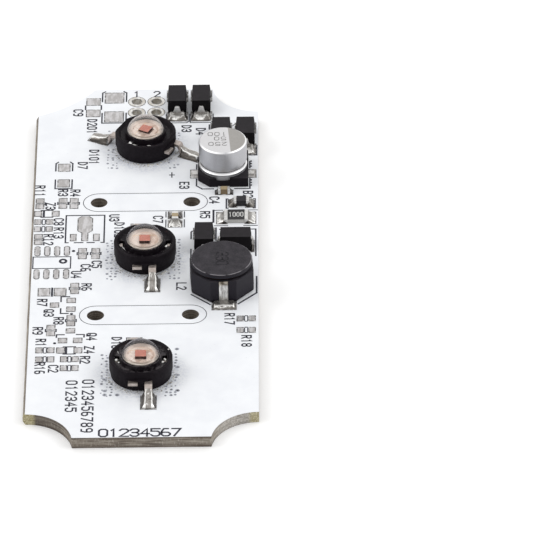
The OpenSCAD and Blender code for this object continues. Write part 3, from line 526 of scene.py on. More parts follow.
def ferrite_finish(name, edge_highlight_r):
    """Ground ferrite: dark grey and grainy, with painted shade on its walls and a painted highlight on its
    rounded edge beyond a radius.
    """
    f = Finish(name, 0.6, specular=0.25)
    grain = f.noise(7, 4, 0.7)
    pits = f.span(f.cells(3.2), 0.1, 0.25, 1, 0)
    cloud = f.noise(0.9, 4, 0.65)
    mixed = f.times(f.calc("ADD", grain, cloud), 0.5)
    top = f.grade(mixed, 0.36, 0.64, (22, 20, 26), (60, 56, 62))
    wall = f.blend(grain, (16, 13, 21), (40, 37, 46))
    up = f.facing_up()
    # Painted shade: the walls are darker than the top
    colour = f.grade(up, 0.2, 0.9, wall, top)
    colour = f.blend(f.times(pits, 0.5), colour, (16, 14, 18))
    # Painted highlight on the rounded edge, broken up by a noise
    edge = f.times(f.span(f.radius(COIL), edge_highlight_r - 0.14, edge_highlight_r - 0.08), f.span(cloud, 0.4, 0.52))
    edge = f.times(edge, f.span(up, 0.6, 0.8))
    f.paint(f.blend(edge, colour, (142, 139, 143)))
    f.bump(f.calc("SUBTRACT", grain, pits), 0.015)
    return f


def ceramic_finish(name, top, side, rough=0.5):
    """A fired chip part: speckled, with its sides in a tone of their own: the resistor's white ceramic, and
    painted shade on the other parts.
    """
    f = Finish(name, rough, specular=0.4)
    speckle = f.noise(6, 4, 0.7)
    # The sides' own tone: the resistor's white ceramic, painted shade on the other parts
    colour = f.grade(f.facing_up(), 0.2, 0.9, side, top)
    f.paint(f.blend(f.span(speckle, 0.35, 0.7), colour, (221, 221, 221), "MULTIPLY"))
    f.bump(speckle, 0.012)
    return f


# Mesh tools. A shape is worked out in millimetres.


def link(thing):
    bpy.context.scene.collection.objects.link(thing)
    return thing


def new_object(name, work, finish):
    work.transform(Matrix.Scale(MM, 4))
    mesh = bpy.data.meshes.new(name)
    work.to_mesh(mesh)
    work.free()
    mesh.materials.append(finish.material)
    return link(bpy.data.objects.new(name, mesh))


def add_piece(name, work, finish, replaces=(), crease=35):
    """Turns mesh work into a piece of the object. Edges that turn more than the crease stay sharp."""
    bmesh.ops.recalc_face_normals(work, faces=work.faces)
    piece = new_object(name, work, finish)
    piece.data.shade_smooth()
    piece.data.set_sharp_from_angle(angle=math.radians(crease))
    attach(piece, "root")
    if replaces:
        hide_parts(*replaces)
    return piece


def cad_copy(node):
    """The CAD node's mesh in millimetres, with its split corners joined and its flat faces whole."""
    work = bmesh.new()
    work.from_mesh(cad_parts[node].data)
    bmesh.ops.remove_doubles(work, verts=work.verts, dist=1e-6)
    flat = math.radians(0.5)
    bmesh.ops.dissolve_limit(work, angle_limit=flat, verts=work.verts, edges=work.edges)
    work.transform(Matrix.Scale(1 / MM, 4))
    return work


def softened(node, finish, rounding, segments=2):
    """A copy of a CAD node with its sharp edges rounded, as a moulded or worn part has them."""
    piece = add_piece(node + "_rounded", cad_copy(node), finish, (node,))
    bevel = piece.modifiers.new("rounding", "BEVEL")
    bevel.width = rounding * MM
    bevel.segments = segments
    bevel.limit_method = "ANGLE"
    bevel.angle_limit = math.radians(30)
    bevel.harden_normals = True


def dress(node, finish):
    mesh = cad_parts[node].data
    mesh.materials.clear()
    mesh.materials.append(finish.material)


def solids(node):
    """The plan box (x0, y0, x1, y1) of each solid of a CAD node."""
    work = cad_copy(node)
    boxes, left = [], set(work.verts)
    while left:
        island, todo = [], [left.pop()]
        while todo:
            vertex = todo.pop()
            island.append(vertex.co)
            fresh = {edge.other_vert(vertex) for edge in vertex.link_edges} & left
            left -= fresh
            todo += fresh
        xs, ys = [c.x for c in island], [c.y for c in island]
        boxes.append((min(xs), min(ys), max(xs), max(ys)))
    work.free()
    return sorted(boxes)


def plan_middle(box):
    return (box[0] + box[2]) / 2, (box[1] + box[3]) / 2


def outlines(node):
    """The outline of each face on top of a CAD node, in plan."""
    work = cad_copy(node)
    top = max(vertex.co.z for vertex in work.verts)
    high = [face for face in work.faces if face.calc_center_median().z > top - 0.005]
    rows = [[vertex.co.xy.copy() for vertex in face.verts] for face in high if face.normal.z > 0.9]
    work.free()
    return rows


def circle(r, z, sides):
    angles = [2 * math.pi * i / sides for i in range(sides)]
    return [Vector((r * math.cos(a), r * math.sin(a), z)) for a in angles]


def lathe(work, profile, place, steps=96):
    """Turns a closed profile of (radius, height) points round the place's own axis."""
    rings = []
    for r, z in profile:
        points = circle(r, z, steps) if r > 1e-6 else [Vector((0, 0, z))]
        rings.append([work.verts.new(place @ point) for point in points])
    for low, high in zip(rings, rings[1:] + rings[:1]):
        if len(low) == 1 and len(high) == 1:
            continue
        for i in range(steps):
            j = (i + 1) % steps
            corners = [low[i % len(low)], low[j % len(low)], high[j % len(high)], high[i % len(high)]]
            work.faces.new(list(dict.fromkeys(corners)))


def arc(cx, cy, r, start, end, steps=6):
    """Points of an arc from one angle to another, in degrees."""
    angles = [math.radians(start + (end - start) * i / steps) for i in range(steps + 1)]
    return [(cx + r * math.cos(a), cy + r * math.sin(a)) for a in angles]


def sleeve(work, rings, closed=False):
    """Faces from ring to ring of equally many corners, and over the ends of an open row."""
    for low, high in zip(rings, rings[1:] + rings[:1] if closed else rings[1:]):
        for k in range(len(low)):
            n = (k + 1) % len(low)
            work.faces.new((low[k], low[n], high[n], high[k]))
    if not closed:
        work.faces.new(rings[0][::-1])
        work.faces.new(rings[-1])


def tube(work, points, radius, sides=8):
    """A round wire along a few points."""
    rings = []
    for i, point in enumerate(points):
        ahead = points[min(i + 1, len(points) - 1)] - points[max(i - 1, 0)]
        turn = ahead.to_track_quat("Z", "X").to_matrix()
        rings.append([work.verts.new(point + turn @ corner) for corner in circle(radius, 0, sides)])
    sleeve(work, rings)


def ramp(points, at_y):
    """The height of a line of (y, height) points at one y, or None beyond its ends."""
    for (y0, z0), (y1, z1) in zip(points, points[1:]):
        if y0 <= at_y <= y1:
            return z0 + (z1 - z0) * (at_y - y0) / (y1 - y0)
    return None


def solder_joint(work, place, pad, core, height, seed, steep=1.0, climb=(), lumps=1.0, dip=0.0):
    """Solder that covers a pad and climbs to a height at its core.

    Pad and core are (x0, y0, x1, y1) in the place's own frame. The skin is a height field with
    rounded pad corners, a bell-shaped slope and small lumps, closed by a flat face on the pad. A
    climb gives (y, height) points of its crest, where a lead comes down. A dip lowers the crest
    in the middle.
    """
    steps = 30
    edge = 0.03
    pad_x, pad_y = plan_middle(pad)
    half_x, half_y = (pad[2] - pad[0]) / 2, (pad[3] - pad[1]) / 2
    core_x, core_half = plan_middle(core)[0], (core[2] - core[0]) / 2
    grid = []
    for i in range(steps + 1):
        row = []
        for j in range(steps + 1):
            u, v = 2 * i / steps - 1, 2 * j / steps - 1
            x = pad_x + half_x * u * math.sqrt(1 - 0.2 * v * v)
            y = pad_y + half_y * v * math.sqrt(1 - 0.2 * u * u)
            to_core = math.hypot(max(core[0] - x, x - core[2], 0), max(core[1] - y, y - core[3], 0))
            to_edge = min(half_x * (1 - abs(u)), half_y * (1 - abs(v)))
            share = to_core / (to_core + to_edge + 1e-6)
            skin = edge * (1 - (1 - min(1.0, to_edge / 0.12)) ** 2)
            lump = 1 + noise.noise(Vector((x * 1.7, y * 1.7, seed * 7.3))) * 0.14 * lumps
            lump += noise.noise(Vector((x * 4.0, y * 4.0, seed * 3.1))) * 0.03 * lumps
            crest = ramp(climb, y)
            if crest is None:
                crest = height - edge
            crest *= 1 - dip * max(0.0, 1 - ((x - core_x) / core_half) ** 2)
            z = skin + crest * (1 - share ** 1.7) ** steep * lump if to_edge > 0 else 0.0
            row.append(work.verts.new(place @ Vector((x, y, PAD_TOP - TOP + max(z, 0.0)))))
        grid.append(row)
    for i in range(steps):
        for j in range(steps):
            work.faces.new((grid[i][j], grid[i + 1][j], grid[i + 1][j + 1], grid[i][j + 1]))
    rim = [grid[i][0] for i in range(steps)] + [grid[steps][j] for j in range(steps)]
    rim += [grid[i][steps] for i in range(steps, 0, -1)] + [grid[0][j] for j in range(steps, 0, -1)]
    work.faces.new(rim[::-1])


# Lettering strokes on a grid 4 wide and 6 high. A closed stroke ends where it starts.
GLYPHS = {
    "0": ["01 10 30 41 45 36 16 05 01"],
    "1": ["15 26 20"],
    "2": ["05 16 36 45 44 00 40"],
    "3": ["05 16 36 45 44 33 13", "33 42 41 30 10 01"],
    "4": ["30 36 02 42"],
    "5": ["46 06 04 34 43 41 30 10 01"],
    "6": ["36 16 04 01 10 30 41 42 33 03"],
    "7": ["06 46 10"],
    "8": ["13 04 05 16 36 45 44 33 13", "13 02 01 10 30 41 42 33"],
    "9": ["10 30 42 45 36 16 05 04 13 43"],
    "B": ["00 06 36 45 44 33 03", "33 42 41 30 00"],
    "C": ["41 30 10 01 05 16 36 45"],
    "D": ["00 06 26 44 42 20 00"],
    "E": ["40 00 06 46", "03 33"],
    "L": ["06 00 40"],
    "Q": ["01 10 30 41 45 36 16 05 01", "22 40"],
    "R": ["00 06 36 45 44 33 03", "23 40"],
    "U": ["06 01 10 30 41 46"],
    "Z": ["06 46 00 40"],
    "+": ["22 24", "13 33"],
}


def ribbon(work, points, width, thickness, place):
    """A printed stroke: a thin flat band along points, mitred at its corners."""
    legs = [(b - a).normalized() for a, b in zip(points, points[1:])]
    closed = (points[0] - points[-1]).length < 1e-6
    before = [legs[-1] if closed else legs[0]] + legs
    corners = list(zip(points, before, legs + [legs[-1]]))
    if closed:
        corners.pop()
    else:
        corners[0] = (points[0] - legs[0] * width / 2, legs[0], legs[0])
        corners[-1] = (points[-1] + legs[-1] * width / 2, legs[-1], legs[-1])
    rings = []
    for point, into, out in corners:
        side = Vector((-into.y - out.y, into.x + out.x))
        side = side.normalized() * width / max(1.0, side.length)
        left, right = point + side, point - side
        spots = [(*left, 0), (*right, 0), (*right, thickness), (*left, thickness)]
        rings.append([work.verts.new(place @ Vector(s)) for s in spots])
    sleeve(work, rings, closed)


def lettering(work, text, place, height, advance, stroke, thickness=0.02, wide=0.62):
    """A line of letters with its middle at the place, reading along the place's X."""
    start = -advance * (len(text) - 1) / 2
    unit_y = height / 6
    unit_x = advance * wide / 4
    for n, letter in enumerate(text):
        for stroke_points in GLYPHS[letter]:
            points = []
            for pair in stroke_points.split():
                x = start + n * advance + (int(pair[0]) - 2) * unit_x
                points.append(Vector((x, (int(pair[1]) - 3) * unit_y)))
            ribbon(work, points, stroke, thickness, place)


# Board

copper = mottled_finish("copper", ((190, 120, 84), (226, 164, 124)), (1.5, 3), relief=0.02,
    stretch=(1, 1, 8), roughness=0.35, metallic=1)
ink = mottled_finish("dark_print", ((40, 40, 52), (112, 113, 124)), (3, 4, 0.7), (0.55, 0.78, 0, 0.6),
    relief=0, roughness=0.6, specular=0.3)
dress("board_core", laminate_finish())
dress("top_copper", copper)
dress("bottom_copper", copper)
dress("top_mask", mask_finish("white_mask", LEDS))
dress("bottom_mask", mask_finish("white_mask_underside", ()))
dress("silkscreen", ink)
dress("bare_pads", pad_finish("bare_pad_tin", (212, 210, 211), (184, 181, 180)))
dress("fitted_pads", pad_finish("fitted_pad_tin", (214, 212, 212), (176, 172, 168)))
dress("wire_hole_barrels", pad_finish("barrel_tin", (236, 235, 232), (204, 199, 190)))

# A fine line of painted shade in the gap round each pad, and round and inside each ring

PAD_LINE_W = 0.13
PAD_LINE_Z = PAD_TOP - 0.006
RING_W = 0.48
work = bmesh.new()
for node in ("bare_pads", "fitted_pads"):
    for row in outlines(node):
        ribbon(work, row + row[:1], PAD_LINE_W, 0.01, at(0, 0, PAD_LINE_Z))
for box in solids("wire_hole_barrels"):
    ring_r = (box[2] - box[0]) / 2
    for r in (ring_r, ring_r - RING_W):
        profile = [(r - 0.04, 0), (r + 0.05, 0), (r + 0.05, 0.01), (r - 0.04, 0.01)]
        lathe(work, profile, at(*plan_middle(box), PAD_LINE_Z), 40)
# Painted shade round the pads and the rings of the wire holes
dirt_and_painted_shade = ink_and_shade_finish("pad_edge_painted_shade", (84, 82, 82), (204, 203, 202))
add_piece("pad_edge_shade_lines", work, dirt_and_painted_shade)

# LEDs


def led_lens(name, finish):
    """Hollow clear dome, its foot round the top of the slug."""
    inner_r = DOME_R - DOME_WALL
    bore_r = DOME_SIDE_R - DOME_WALL
    foot = SEAT_Z + 0.005
    side = math.degrees(math.acos(DOME_SIDE_R / DOME_R))
    bore = math.degrees(math.acos(bore_r / inner_r))
    profile = [(bore_r, foot), (DOME_SIDE_R, foot)] + arc(0, DOME_Z, DOME_R, side, 90, 36)[:-1]
    profile += [(0, DOME_Z + DOME_R), (0, DOME_Z + inner_r)]
    profile += arc(0, DOME_Z, inner_r, 90, bore, 36)[1:]
    work = bmesh.new()
    lathe(work, profile, led_place(name), 112)
    add_piece(f"{name}_led_lens_dome", work, finish, (f"{name}_led_lens",), 50)


def lens_bead_highlight(name, finish):
    """Thin silvery fillet between the slug and the foot of the dome, very pale: a painted highlight for the
    bright ring there.
    """
    width, height, foot = 0.091, 0.208, SEAT_Z + 0.1
    fillet = [(SLUG_TOP_R + width * x, foot + height * z) for x, z in arc(0, 0, 1, 0, 90, 5)]
    work = bmesh.new()
    lathe(work, [(SLUG_TOP_R - 0.01, foot)] + fillet, led_place(name))
    add_piece(f"{name}_led_lens_bead", work, finish)


def led_cup(name, finish):
    """Slug with the turned cup, its rim and corner rounded."""
    slug_r = 2.8
    step = 1.45
    round_off = 0.03
    corner_r = 0.06
    rim_r = SLUG_TOP_R - 0.1
    foot = PAD_TOP - TOP
    profile = [(0, foot), (slug_r, foot), (slug_r, step), (SLUG_TOP_R, step), (SLUG_TOP_R, SEAT_Z + 0.03)]
    profile += arc(rim_r - round_off, CUP_TOP - round_off, round_off, 0, 90, 3)
    profile += arc(rim_r - 2 * round_off, CUP_TOP - round_off, round_off, 90, 145, 2)
    profile += arc(CUP_R, CUP_Z + corner_r, corner_r, -35, -90, 3) + [(0, CUP_Z)]
    work = bmesh.new()
    lathe(work, profile, led_place(name))
    add_piece(f"{name}_led_cup", work, finish, (f"{name}_led_slug",), 40)


def bond_wires(name, finish):
    """Two fine gold wires from the chip to the rim of the cup."""
    work = bmesh.new()
    steps = 12
    for side in (-1, 1):
        start = Vector((0.5 * side, 0.45, CHIP_TOP))
        end = Vector((1.55 * side, 0.75, CUP_Z))
        points = []
        for i in range(steps + 1):
            t = i / steps
            lift = WIRE_LOOP * math.sin(math.pi * t) * (1.3 - 0.6 * t)
            points.append(led_place(name) @ (start.lerp(end, t) + Vector((0, 0, lift))))
        tube(work, points, WIRE_R)
    add_piece(f"{name}_led_bond_wires", work, finish)


def led_joint(work, name, side, seed):
    """Solder on one of an LED's two leads, at the side turned by 0 or 180 degrees."""
    half_core = LED_LEAD_W / 2 - 0.14
    pad_end, core_end = -LED_PAD_Y - LED_PAD_HALF_L, -LED_PAD_Y - 1.2
    climb = LED_CLIMB
    if side == 180 and name != "far":
        pad_end, core_end = BACK_JOINT_END, BACK_JOINT_END + 0.2
        climb = LED_BACK_CLIMB
    left, right = LED_LEAD_X - LED_PAD_HALF_W, LED_LEAD_X + LED_PAD_HALF_W
    pad = (left, pad_end, right, -LED_PAD_Y + LED_PAD_HALF_L)
    core = (LED_LEAD_X - half_core, core_end, LED_LEAD_X + half_core, -LED_PAD_Y + 1.4)
    solder_joint(work, led_place(name) @ spin(side), pad, core, 0.58, seed, climb=climb, lumps=0.5)


# Crest of the solder on an LED's lead: (y, height) from the end of the pad up to the bend
LED_CLIMB = [
    (-7.7, 0.4), (-7.3, 0.52), (-6.8, 0.6), (-6.3, 0.66), (-5.9, 0.72), (-5.6, 0.78), (-5.35, 0.85),
    (-5.15, 0.94), (-5.0, 1.04), (-4.8, 1.26),
]
# The joints behind the near and middle LEDs are lower and end short of their pad's end
BACK_JOINT_END = -7.1
LED_BACK_CLIMB = [(BACK_JOINT_END, 0.12), (-6.6, 0.3)] + LED_CLIMB[4:]
# What tells the LEDs apart: smears and painted reflection in the bowl, marks in the cup, and haze and tint
# of the dome
LED_LOOK = {
    "near": (0.22, 0.8, 0.28, (176, 173, 176)),
    "middle": (0.1, 0.15, 0.28, (176, 173, 176)),
    "far": (0.07, 0.8, 0.5, (232, 228, 226)),
}
# The near and middle LEDs stand alike, so that their joints share a piece
LED_JOINTS_STAND_FOR = {"middle": ("led_solder",), "far": ()}
gold = lead_finish("gold_wire", (236, 196, 120), (248, 222, 168))
# Very pale silver for the painted highlight at the foot of each dome
bead_painted_highlight = lead_finish("bead_painted_highlight", (255, 246, 236), (238, 224, 212))
led_metal = lead_finish("led_lead_tin", (176, 165, 158), (202, 192, 186))
solder = solder_finish()
led_joints = bmesh.new()
for count, led in enumerate(LEDS):
    spot = LED_SPOTS[led]
    turn = LED_TURN[led]
    smear_and_sheen_share, marred, haze, tint = LED_LOOK[led]
    black = led_black_finish(f"{led}_led_black", spot, smear_and_sheen_share)
    softened(f"{led}_led_body", black, 0.05)
    led_cup(led, cup_finish(f"{led}_cup_silver", spot, turn, marred))
    dress(f"{led}_led_chip", chip_finish(f"{led}_chip_orange", spot, turn))
    softened(f"{led}_led_leads", led_metal, 0.035)
    led_lens(led, lens_finish(f"{led}_clear_silicone", haze, tint))
    lens_bead_highlight(led, bead_painted_highlight)
    bond_wires(led, gold)
    led_joint(led_joints, led, 0, count * 2)
    led_joint(led_joints, led, 180, count * 2 + 1)
    if led in LED_JOINTS_STAND_FOR:
        finish = led_solder_finish(f"{led}_led_solder", turn)
        add_piece(f"{led}_led_solder_joints", led_joints, finish, LED_JOINTS_STAND_FOR[led], 60)
        led_joints = bmesh.new()
led_joints.free()

# Silvery smears, bare edges and painted glints in the bowls of the LEDs: (x, y, width, depth,
# turn), and for some the lift from the floor of the bowl, to the post in the window or to the rim

BOWL_Z = 2.29
SMEARS_AND_GLINTS = {
    "middle": [
        (-2.78, -1.0, 0.1, 1.15, 28), (-3.35, -0.35, 0.08, 0.5, 60), (2.72, -0.72, 0.36, 0.6, -35),
        (3.3, -0.25, 0.08, 0.5, -55),
    ],
    "near": [
        (-3.05, 0.1, 0.4, 0.5, 0, -0.25), (-2.75, -0.8, 0.26, 0.34, 20), (-2.95, 1.6, 0.1, 0.8, 15),
        (3.05, 0.15, 0.4, 0.5, 0, -0.25), (2.75, -0.75, 0.32, 0.34, -20), (3.5, 1.35, 0.2, 0.2, 0, 0.42),
    ],
    "far": [(-1.95, -2.2, 0.6, 0.62, 40), (-1.4, -2.75, 0.26, 1.0, 72), (0.55, -2.9, 0.12, 0.6, 80)],
}
work = bmesh.new()
for led, smears_and_sheen in SMEARS_AND_GLINTS.items():
    centre = LED_SPOTS[led]
    for x, y, width, depth, turn, *lift in smears_and_sheen:
        thick = max(0.1, 0.5 * min(width, depth))
        place = at(centre.x + x, centre.y + y, TOP + BOWL_Z + sum(lift)) @ spin(turn)
        place = place @ Matrix.Diagonal((width, depth, thick, 1))
        smear_and_glint = bmesh.ops.create_icosphere(work, subdivisions=3, radius=0.5, matrix=place)
        for vertex in smear_and_glint["verts"]:
            swell = 0.7 * noise.noise(vertex.co * 3.1)
            vertex.co += (vertex.co - place.translation) * swell
# Bright silver for the smears and bare edges, which also stand in as painted glints
silver = lead_finish("bare_silver_and_glints", (222, 220, 216), (250, 249, 246))
add_piece("led_bowl_smears_and_glints", work, silver)

# Capacitor. The can's top lies a hair low, so that its print stays inside the part's box.

CAN_PRINT_Z = CAN_TOP - 0.025


def capacitor_can(finish):
    """Drawn aluminium can with a rolled groove, a rounded top edge and a turned-in foot."""
    r = 3.15
    wall = 0.2
    lip, lip_z = 0.16, 1.62
    groove_r, roll = 2.9, 0.14
    shoulder, bevel = 0.08, 0.3
    top = CAN_PRINT_Z - TOP
    foot = box_mm("capacitor_can")[0].z - TOP
    outside = [(r - 0.06, foot)] + arc(r - lip, lip_z, lip, -30, 60, 6)
    outside += arc(groove_r + roll, GROOVE_Z - roll, roll, 225, 180, 3)
    outside += arc(groove_r + roll, GROOVE_Z + 0.1, roll, 180, 120, 3)
    outside += arc(r - shoulder, GROOVE_Z + 0.22 + shoulder, shoulder, -50, 0, 3)
    inside = [(x - wall, z) for x, z in reversed(outside)]
    outside += arc(r - bevel, top - bevel, bevel, 0, 90, 8) + [(0, top)]
    work = bmesh.new()
    lathe(work, outside + [(0, top - wall), (r - wall, top - wall)] + inside, at(CAN.x, CAN.y), 128)
    add_piece("capacitor_can_drawn", work, finish, ("capacitor_can",), 50)


capacitor_can(can_finish())
work = bmesh.new()
for text, x, y in (("100", -0.75, 1.4), ("50", -0.34, 0.33), ("250", -0.64, -0.92)):
    place = at(CAN.x + x, CAN.y + y, CAN_PRINT_Z) @ spin(180)
    lettering(work, text, place, 0.76, 0.88, 0.085, 0.012, 0.66)
can_ink = ink_and_shade_finish("can_print", (98, 96, 94), (138, 136, 134))
add_piece("capacitor_numbers", work, can_ink)
base_black = moulding_finish("base_black", (26, 22, 27), (30, 27, 31))
softened("capacitor_base", base_black, 0.08, 3)
rubber = mottled_finish("bung_rubber", ((24, 24, 25), (38, 38, 39)), (3, 3), grain=(10, 2), roughness=0.8)
foil = mottled_finish("foil_and_paper", ((176, 166, 140), (222, 214, 190)), (1, 3), relief=0.02,
    stretch=(4, 4, 0.2), roughness=0.6, metallic=0.2)
dress("capacitor_bung", rubber)
dress("capacitor_winding", foil)
dress("capacitor_terminals", lead_finish("terminal_tin", (204, 202, 200), (226, 225, 222)))

# Inductor

FLANGE_R = 3.92
NO_EDGE_HIGHLIGHT_R = 10
STRIP_PAD = (-1.5, -5.5, 1.5, -4)
STRIP_CORE = (-1.2, -4.8, 1.2, -4)
softened("inductor_shield", ferrite_finish("ferrite", NO_EDGE_HIGHLIGHT_R), 0.07)
softened("inductor_drum", ferrite_finish("drum_ferrite", FLANGE_R), 0.04)
dress("inductor_base", base_black)
dress("inductor_winding", copper)
softened("inductor_terminals", strip_finish(), 0.03)
work = bmesh.new()
for side in (0, 180):
    place = at(COIL.x, COIL.y) @ spin(COIL_TURN + side)
    solder_joint(work, place, STRIP_PAD, STRIP_CORE, 0.42, 20 + side)
add_piece("inductor_solder_joints", work, solder, ("inductor_solder",), 60)
work = bmesh.new()
coil_top = at(COIL.x + 0.1, COIL.y - 0.15, box_mm("inductor_drum")[1].z)
lettering(work, "330", coil_top @ spin(-90), 1.5, 0.98, 0.19, 0.006, 0.75)
stamp = ink_and_shade_finish("stamped_number", (28, 26, 31), (50, 47, 52))
add_piece("inductor_number", work, stamp)

# Diodes


def pad_near(x, y):
    """Plan box of the fitted pad nearest a point."""
    return min(PADS, key=lambda pad: math.dist(plan_middle(pad), (x, y)))


PADS = solids("fitted_pads")
PAD_FROM_MIDDLE = 2.9
PAD_HALF_W = 1.36
LEAD_HALF_W = 0.8
LEAD_OUT = 0.28
epoxy = moulding_finish("diode_epoxy", (14, 11, 14), (28, 25, 28), 8.0)
diode_tin = lead_finish("diode_lead_tin", (196, 194, 192), (222, 221, 219))
work = bmesh.new()
for count, node in enumerate(("rectifier", "driver_diode")):
    softened(f"{node}_bodies", epoxy, 0.06)
    softened(f"{node}_leads", diode_tin, 0.03)
    for k, body in enumerate(solids(f"{node}_bodies")):
        x, y = plan_middle(body)
        size_x, size_y = body[2] - body[0], body[3] - body[1]
        body_end = max(size_x, size_y) / 2
        for side in (0, 180):
            place = at(x, y) @ spin(side + (90 if size_x > size_y else 0))
            out = place.to_3x3() @ Vector((0, -1, 0))
            pad = pad_near(x + out.x * PAD_FROM_MIDDLE, y + out.y * PAD_FROM_MIDDLE)
            reach = max(abs(out.x * (c - x) + out.y * (d - y)) for c, d in (pad[:2], pad[2:]))
            area = (-PAD_HALF_W, -reach + 0.02, PAD_HALF_W, -body_end + 0.1)
            core = (-LEAD_HALF_W, -body_end - LEAD_OUT, LEAD_HALF_W, -body_end + 0.1)
            seed = 30 + 8 * count + 2 * k + side / 180
            solder_joint(work, place, area, core, 0.78, seed, lumps=0.5, dip=0.3)
add_piece("diode_solder_joints", work, solder, ("diode_solder",), 60)

# Chip parts: the name of the body's node with its finish and slot, how round the body and the
# ends are, and how high the solder climbs

END_TIN = lead_finish("chip_end_tin", (214, 213, 211), (236, 235, 232))
RESISTOR_BLACK = ceramic_finish("resistor_black", (34, 33, 36), (206, 204, 199))
BEAD_BLACK = ceramic_finish("bead_ferrite", (36, 33, 37), (22, 20, 24), 0.6)
BROWN = ceramic_finish("brown_ceramic", (176, 158, 126), (132, 112, 82))
CHIP_PARTS = {
    "shunt_resistor": ("body", RESISTOR_BLACK, "resistor_ceramic", 0.04, 0.06, 0.42),
    "ferrite_bead": ("body", BEAD_BLACK, "ferrite", 0.05, 0.08, 0.6),
    "chip_capacitor": ("bodies", BROWN, "brown_ceramic", 0.05, 0.08, 0.5),
}
PAD_INSET = 0.02
CORE_INSET = 0.05
work = bmesh.new()
for part, (body, finish, slot, body_edge, end_edge, height) in CHIP_PARTS.items():
    softened(f"{part}_{body}", finish, body_edge)
    softened(f"{part}_ends", END_TIN, end_edge, 3)
    for k, end in enumerate(solids(f"{part}_ends")):
        x, y = plan_middle(end)
        area, core = (
            (b[0] - x + inset, b[1] - y + inset, b[2] - x - inset, b[3] - y - inset)
            for b, inset in ((pad_near(x, y), PAD_INSET), (end, CORE_INSET))
        )
        solder_joint(work, at(x, y), area, core, height, 50 + height + k, 1.2, dip=0.3)
add_piece("chip_solder_joints", work, solder, ("chip_solder",), 60)
shunt = middle("shunt_resistor_body")
shunt_top = box_mm("shunt_resistor_body")[1].z
work = bmesh.new()
lettering(work, "1000", at(shunt.x, shunt.y, shunt_top), 0.95, 0.5, 0.085, 0.012)
pale_ink = ceramic_finish("pale_print", (246, 246, 243), (220, 220, 216), 0.6)
add_piece("resistor_numbers", work, pale_ink)

# Printed part names: plain class letters with numbers of their own, most read from far to near

LABEL_H = 1.15
LABEL_ADVANCE = 0.88
LABEL_STROKE = 0.2
LABELS = [
    ("R11", -13.95, 15.3), ("R3", -10.95, 14.8), ("R4", -9.35, 14.7), ("Z3", -12.5, 11.7),
    ("C8", -11.35, 8.1), ("R13", -11.3, 5.55), ("R12", -12.6, 4.05), ("U3", -4.15, 8.85),
    ("D102", -3.45, 6.1), ("D101", -7.05, 23.1), ("D103", -3.4, -19.5), ("D7", -8.5, 21.1),
    ("C9", -9.35, 33.65), ("D201", -7.45, 30.4), ("D3", 5.1, 29.55), ("D4", 7.0, 28.85),
    ("E3", 4.9, 16.2), ("C4", 8.85, 12.7), ("C7", 1.55, 8.4), ("B2", 13.25, 13.95),
    ("R5", 7.65, 9.35), ("L2", 4.7, -6.75), ("C5", -6.25, -1.65), ("C6", -7.65, -2.4),
    ("U4", -8.85, -3.9), ("R6", -7.45, -6.7), ("R7", -13.05, -10.05), ("Q3", -12.15, -12.35),
    ("R8", -10.85, -14.1), ("R9", -13.45, -16.25), ("Q4", -6.6, -17.65), ("R1", -13.0, -18.8),
    ("Z4", -6.85, -20.5), ("R2", -7.35, -22.65), ("R16", -13.0, -24.35), ("C2", -11.3, -24.5),
    ("R17", 10.9, -14.1), ("R18", 13.05, -18.95),
]
READ_TO_NEAR = spin(-90)
work = bmesh.new()
for text, x, y in LABELS:
    lettering(work, text, on_board(x, y) @ READ_TO_NEAR, LABEL_H, LABEL_ADVANCE, LABEL_STROKE)
lettering(work, "0123456789", on_board(-6.82, -32.5) @ READ_TO_NEAR, 1.35, 1.14, 0.21)
lettering(work, "012345", on_board(-8.9, -30.4) @ READ_TO_NEAR, 1.3, 1.15, 0.21)
lettering(work, "01234567", on_board(-0.22, -38.22), 1.5, 1.3, 0.24, wide=0.8)
lettering(work, "1", on_board(-1.6, 37.95), 1.3, 1.2, 0.2)
lettering(work, "2", on_board(1.1, 37.95), 1.3, 1.2, 0.2)
lettering(work, "+", on_board(3.25, 18.65), 3.2, 2.0, 0.15)
add_piece("printed_names", work, ink)

# Heat vias round the LEDs

VIA_PITCH = 0.62
VIA_R = 0.19
VIA_COLUMNS = (-4.93, -4.35, -3.75, 3.15, 3.75, 4.36)
VIA_ROWS = range(-8, 7)
VIA_SHARE = 0.8
BODY_CLEAR = 4.2
LARGE_VIA_R = 0.3
LARGE_VIAS = [
    (-4.8, -26.95), (-4.75, -29.36), (-4.74, -30.21), (-3.14, -30.25), (4.35, -24.41), (4.36, -26.13),
    (4.39, -29.44), (4.25, -20.52),
]
spots = []
for led in LEDS:
    centre = LED_SPOTS[led]
    dice = random.Random(led)
    for column in VIA_COLUMNS:
        for k in VIA_ROWS:
            x = column + dice.uniform(-0.1, 0.1)
            y = (k + 0.4) * VIA_PITCH + dice.uniform(-0.12, 0.12)
            r = VIA_R * dice.uniform(0.6, 1.15)
            if math.hypot(x, y) > BODY_CLEAR and dice.random() < VIA_SHARE:
                spots.append((centre.x + x, centre.y + y, r))
spots += [(BOARD.x + x, BOARD.y + y, LARGE_VIA_R) for x, y in LARGE_VIAS]


def clear_of_pads(x, y):
    """Whether a via at a point lies well off every fitted pad."""
    room = VIA_R + 0.1
    return not any(b[0] - room < x < b[2] + room and b[1] - room < y < b[3] + room for b in PADS)


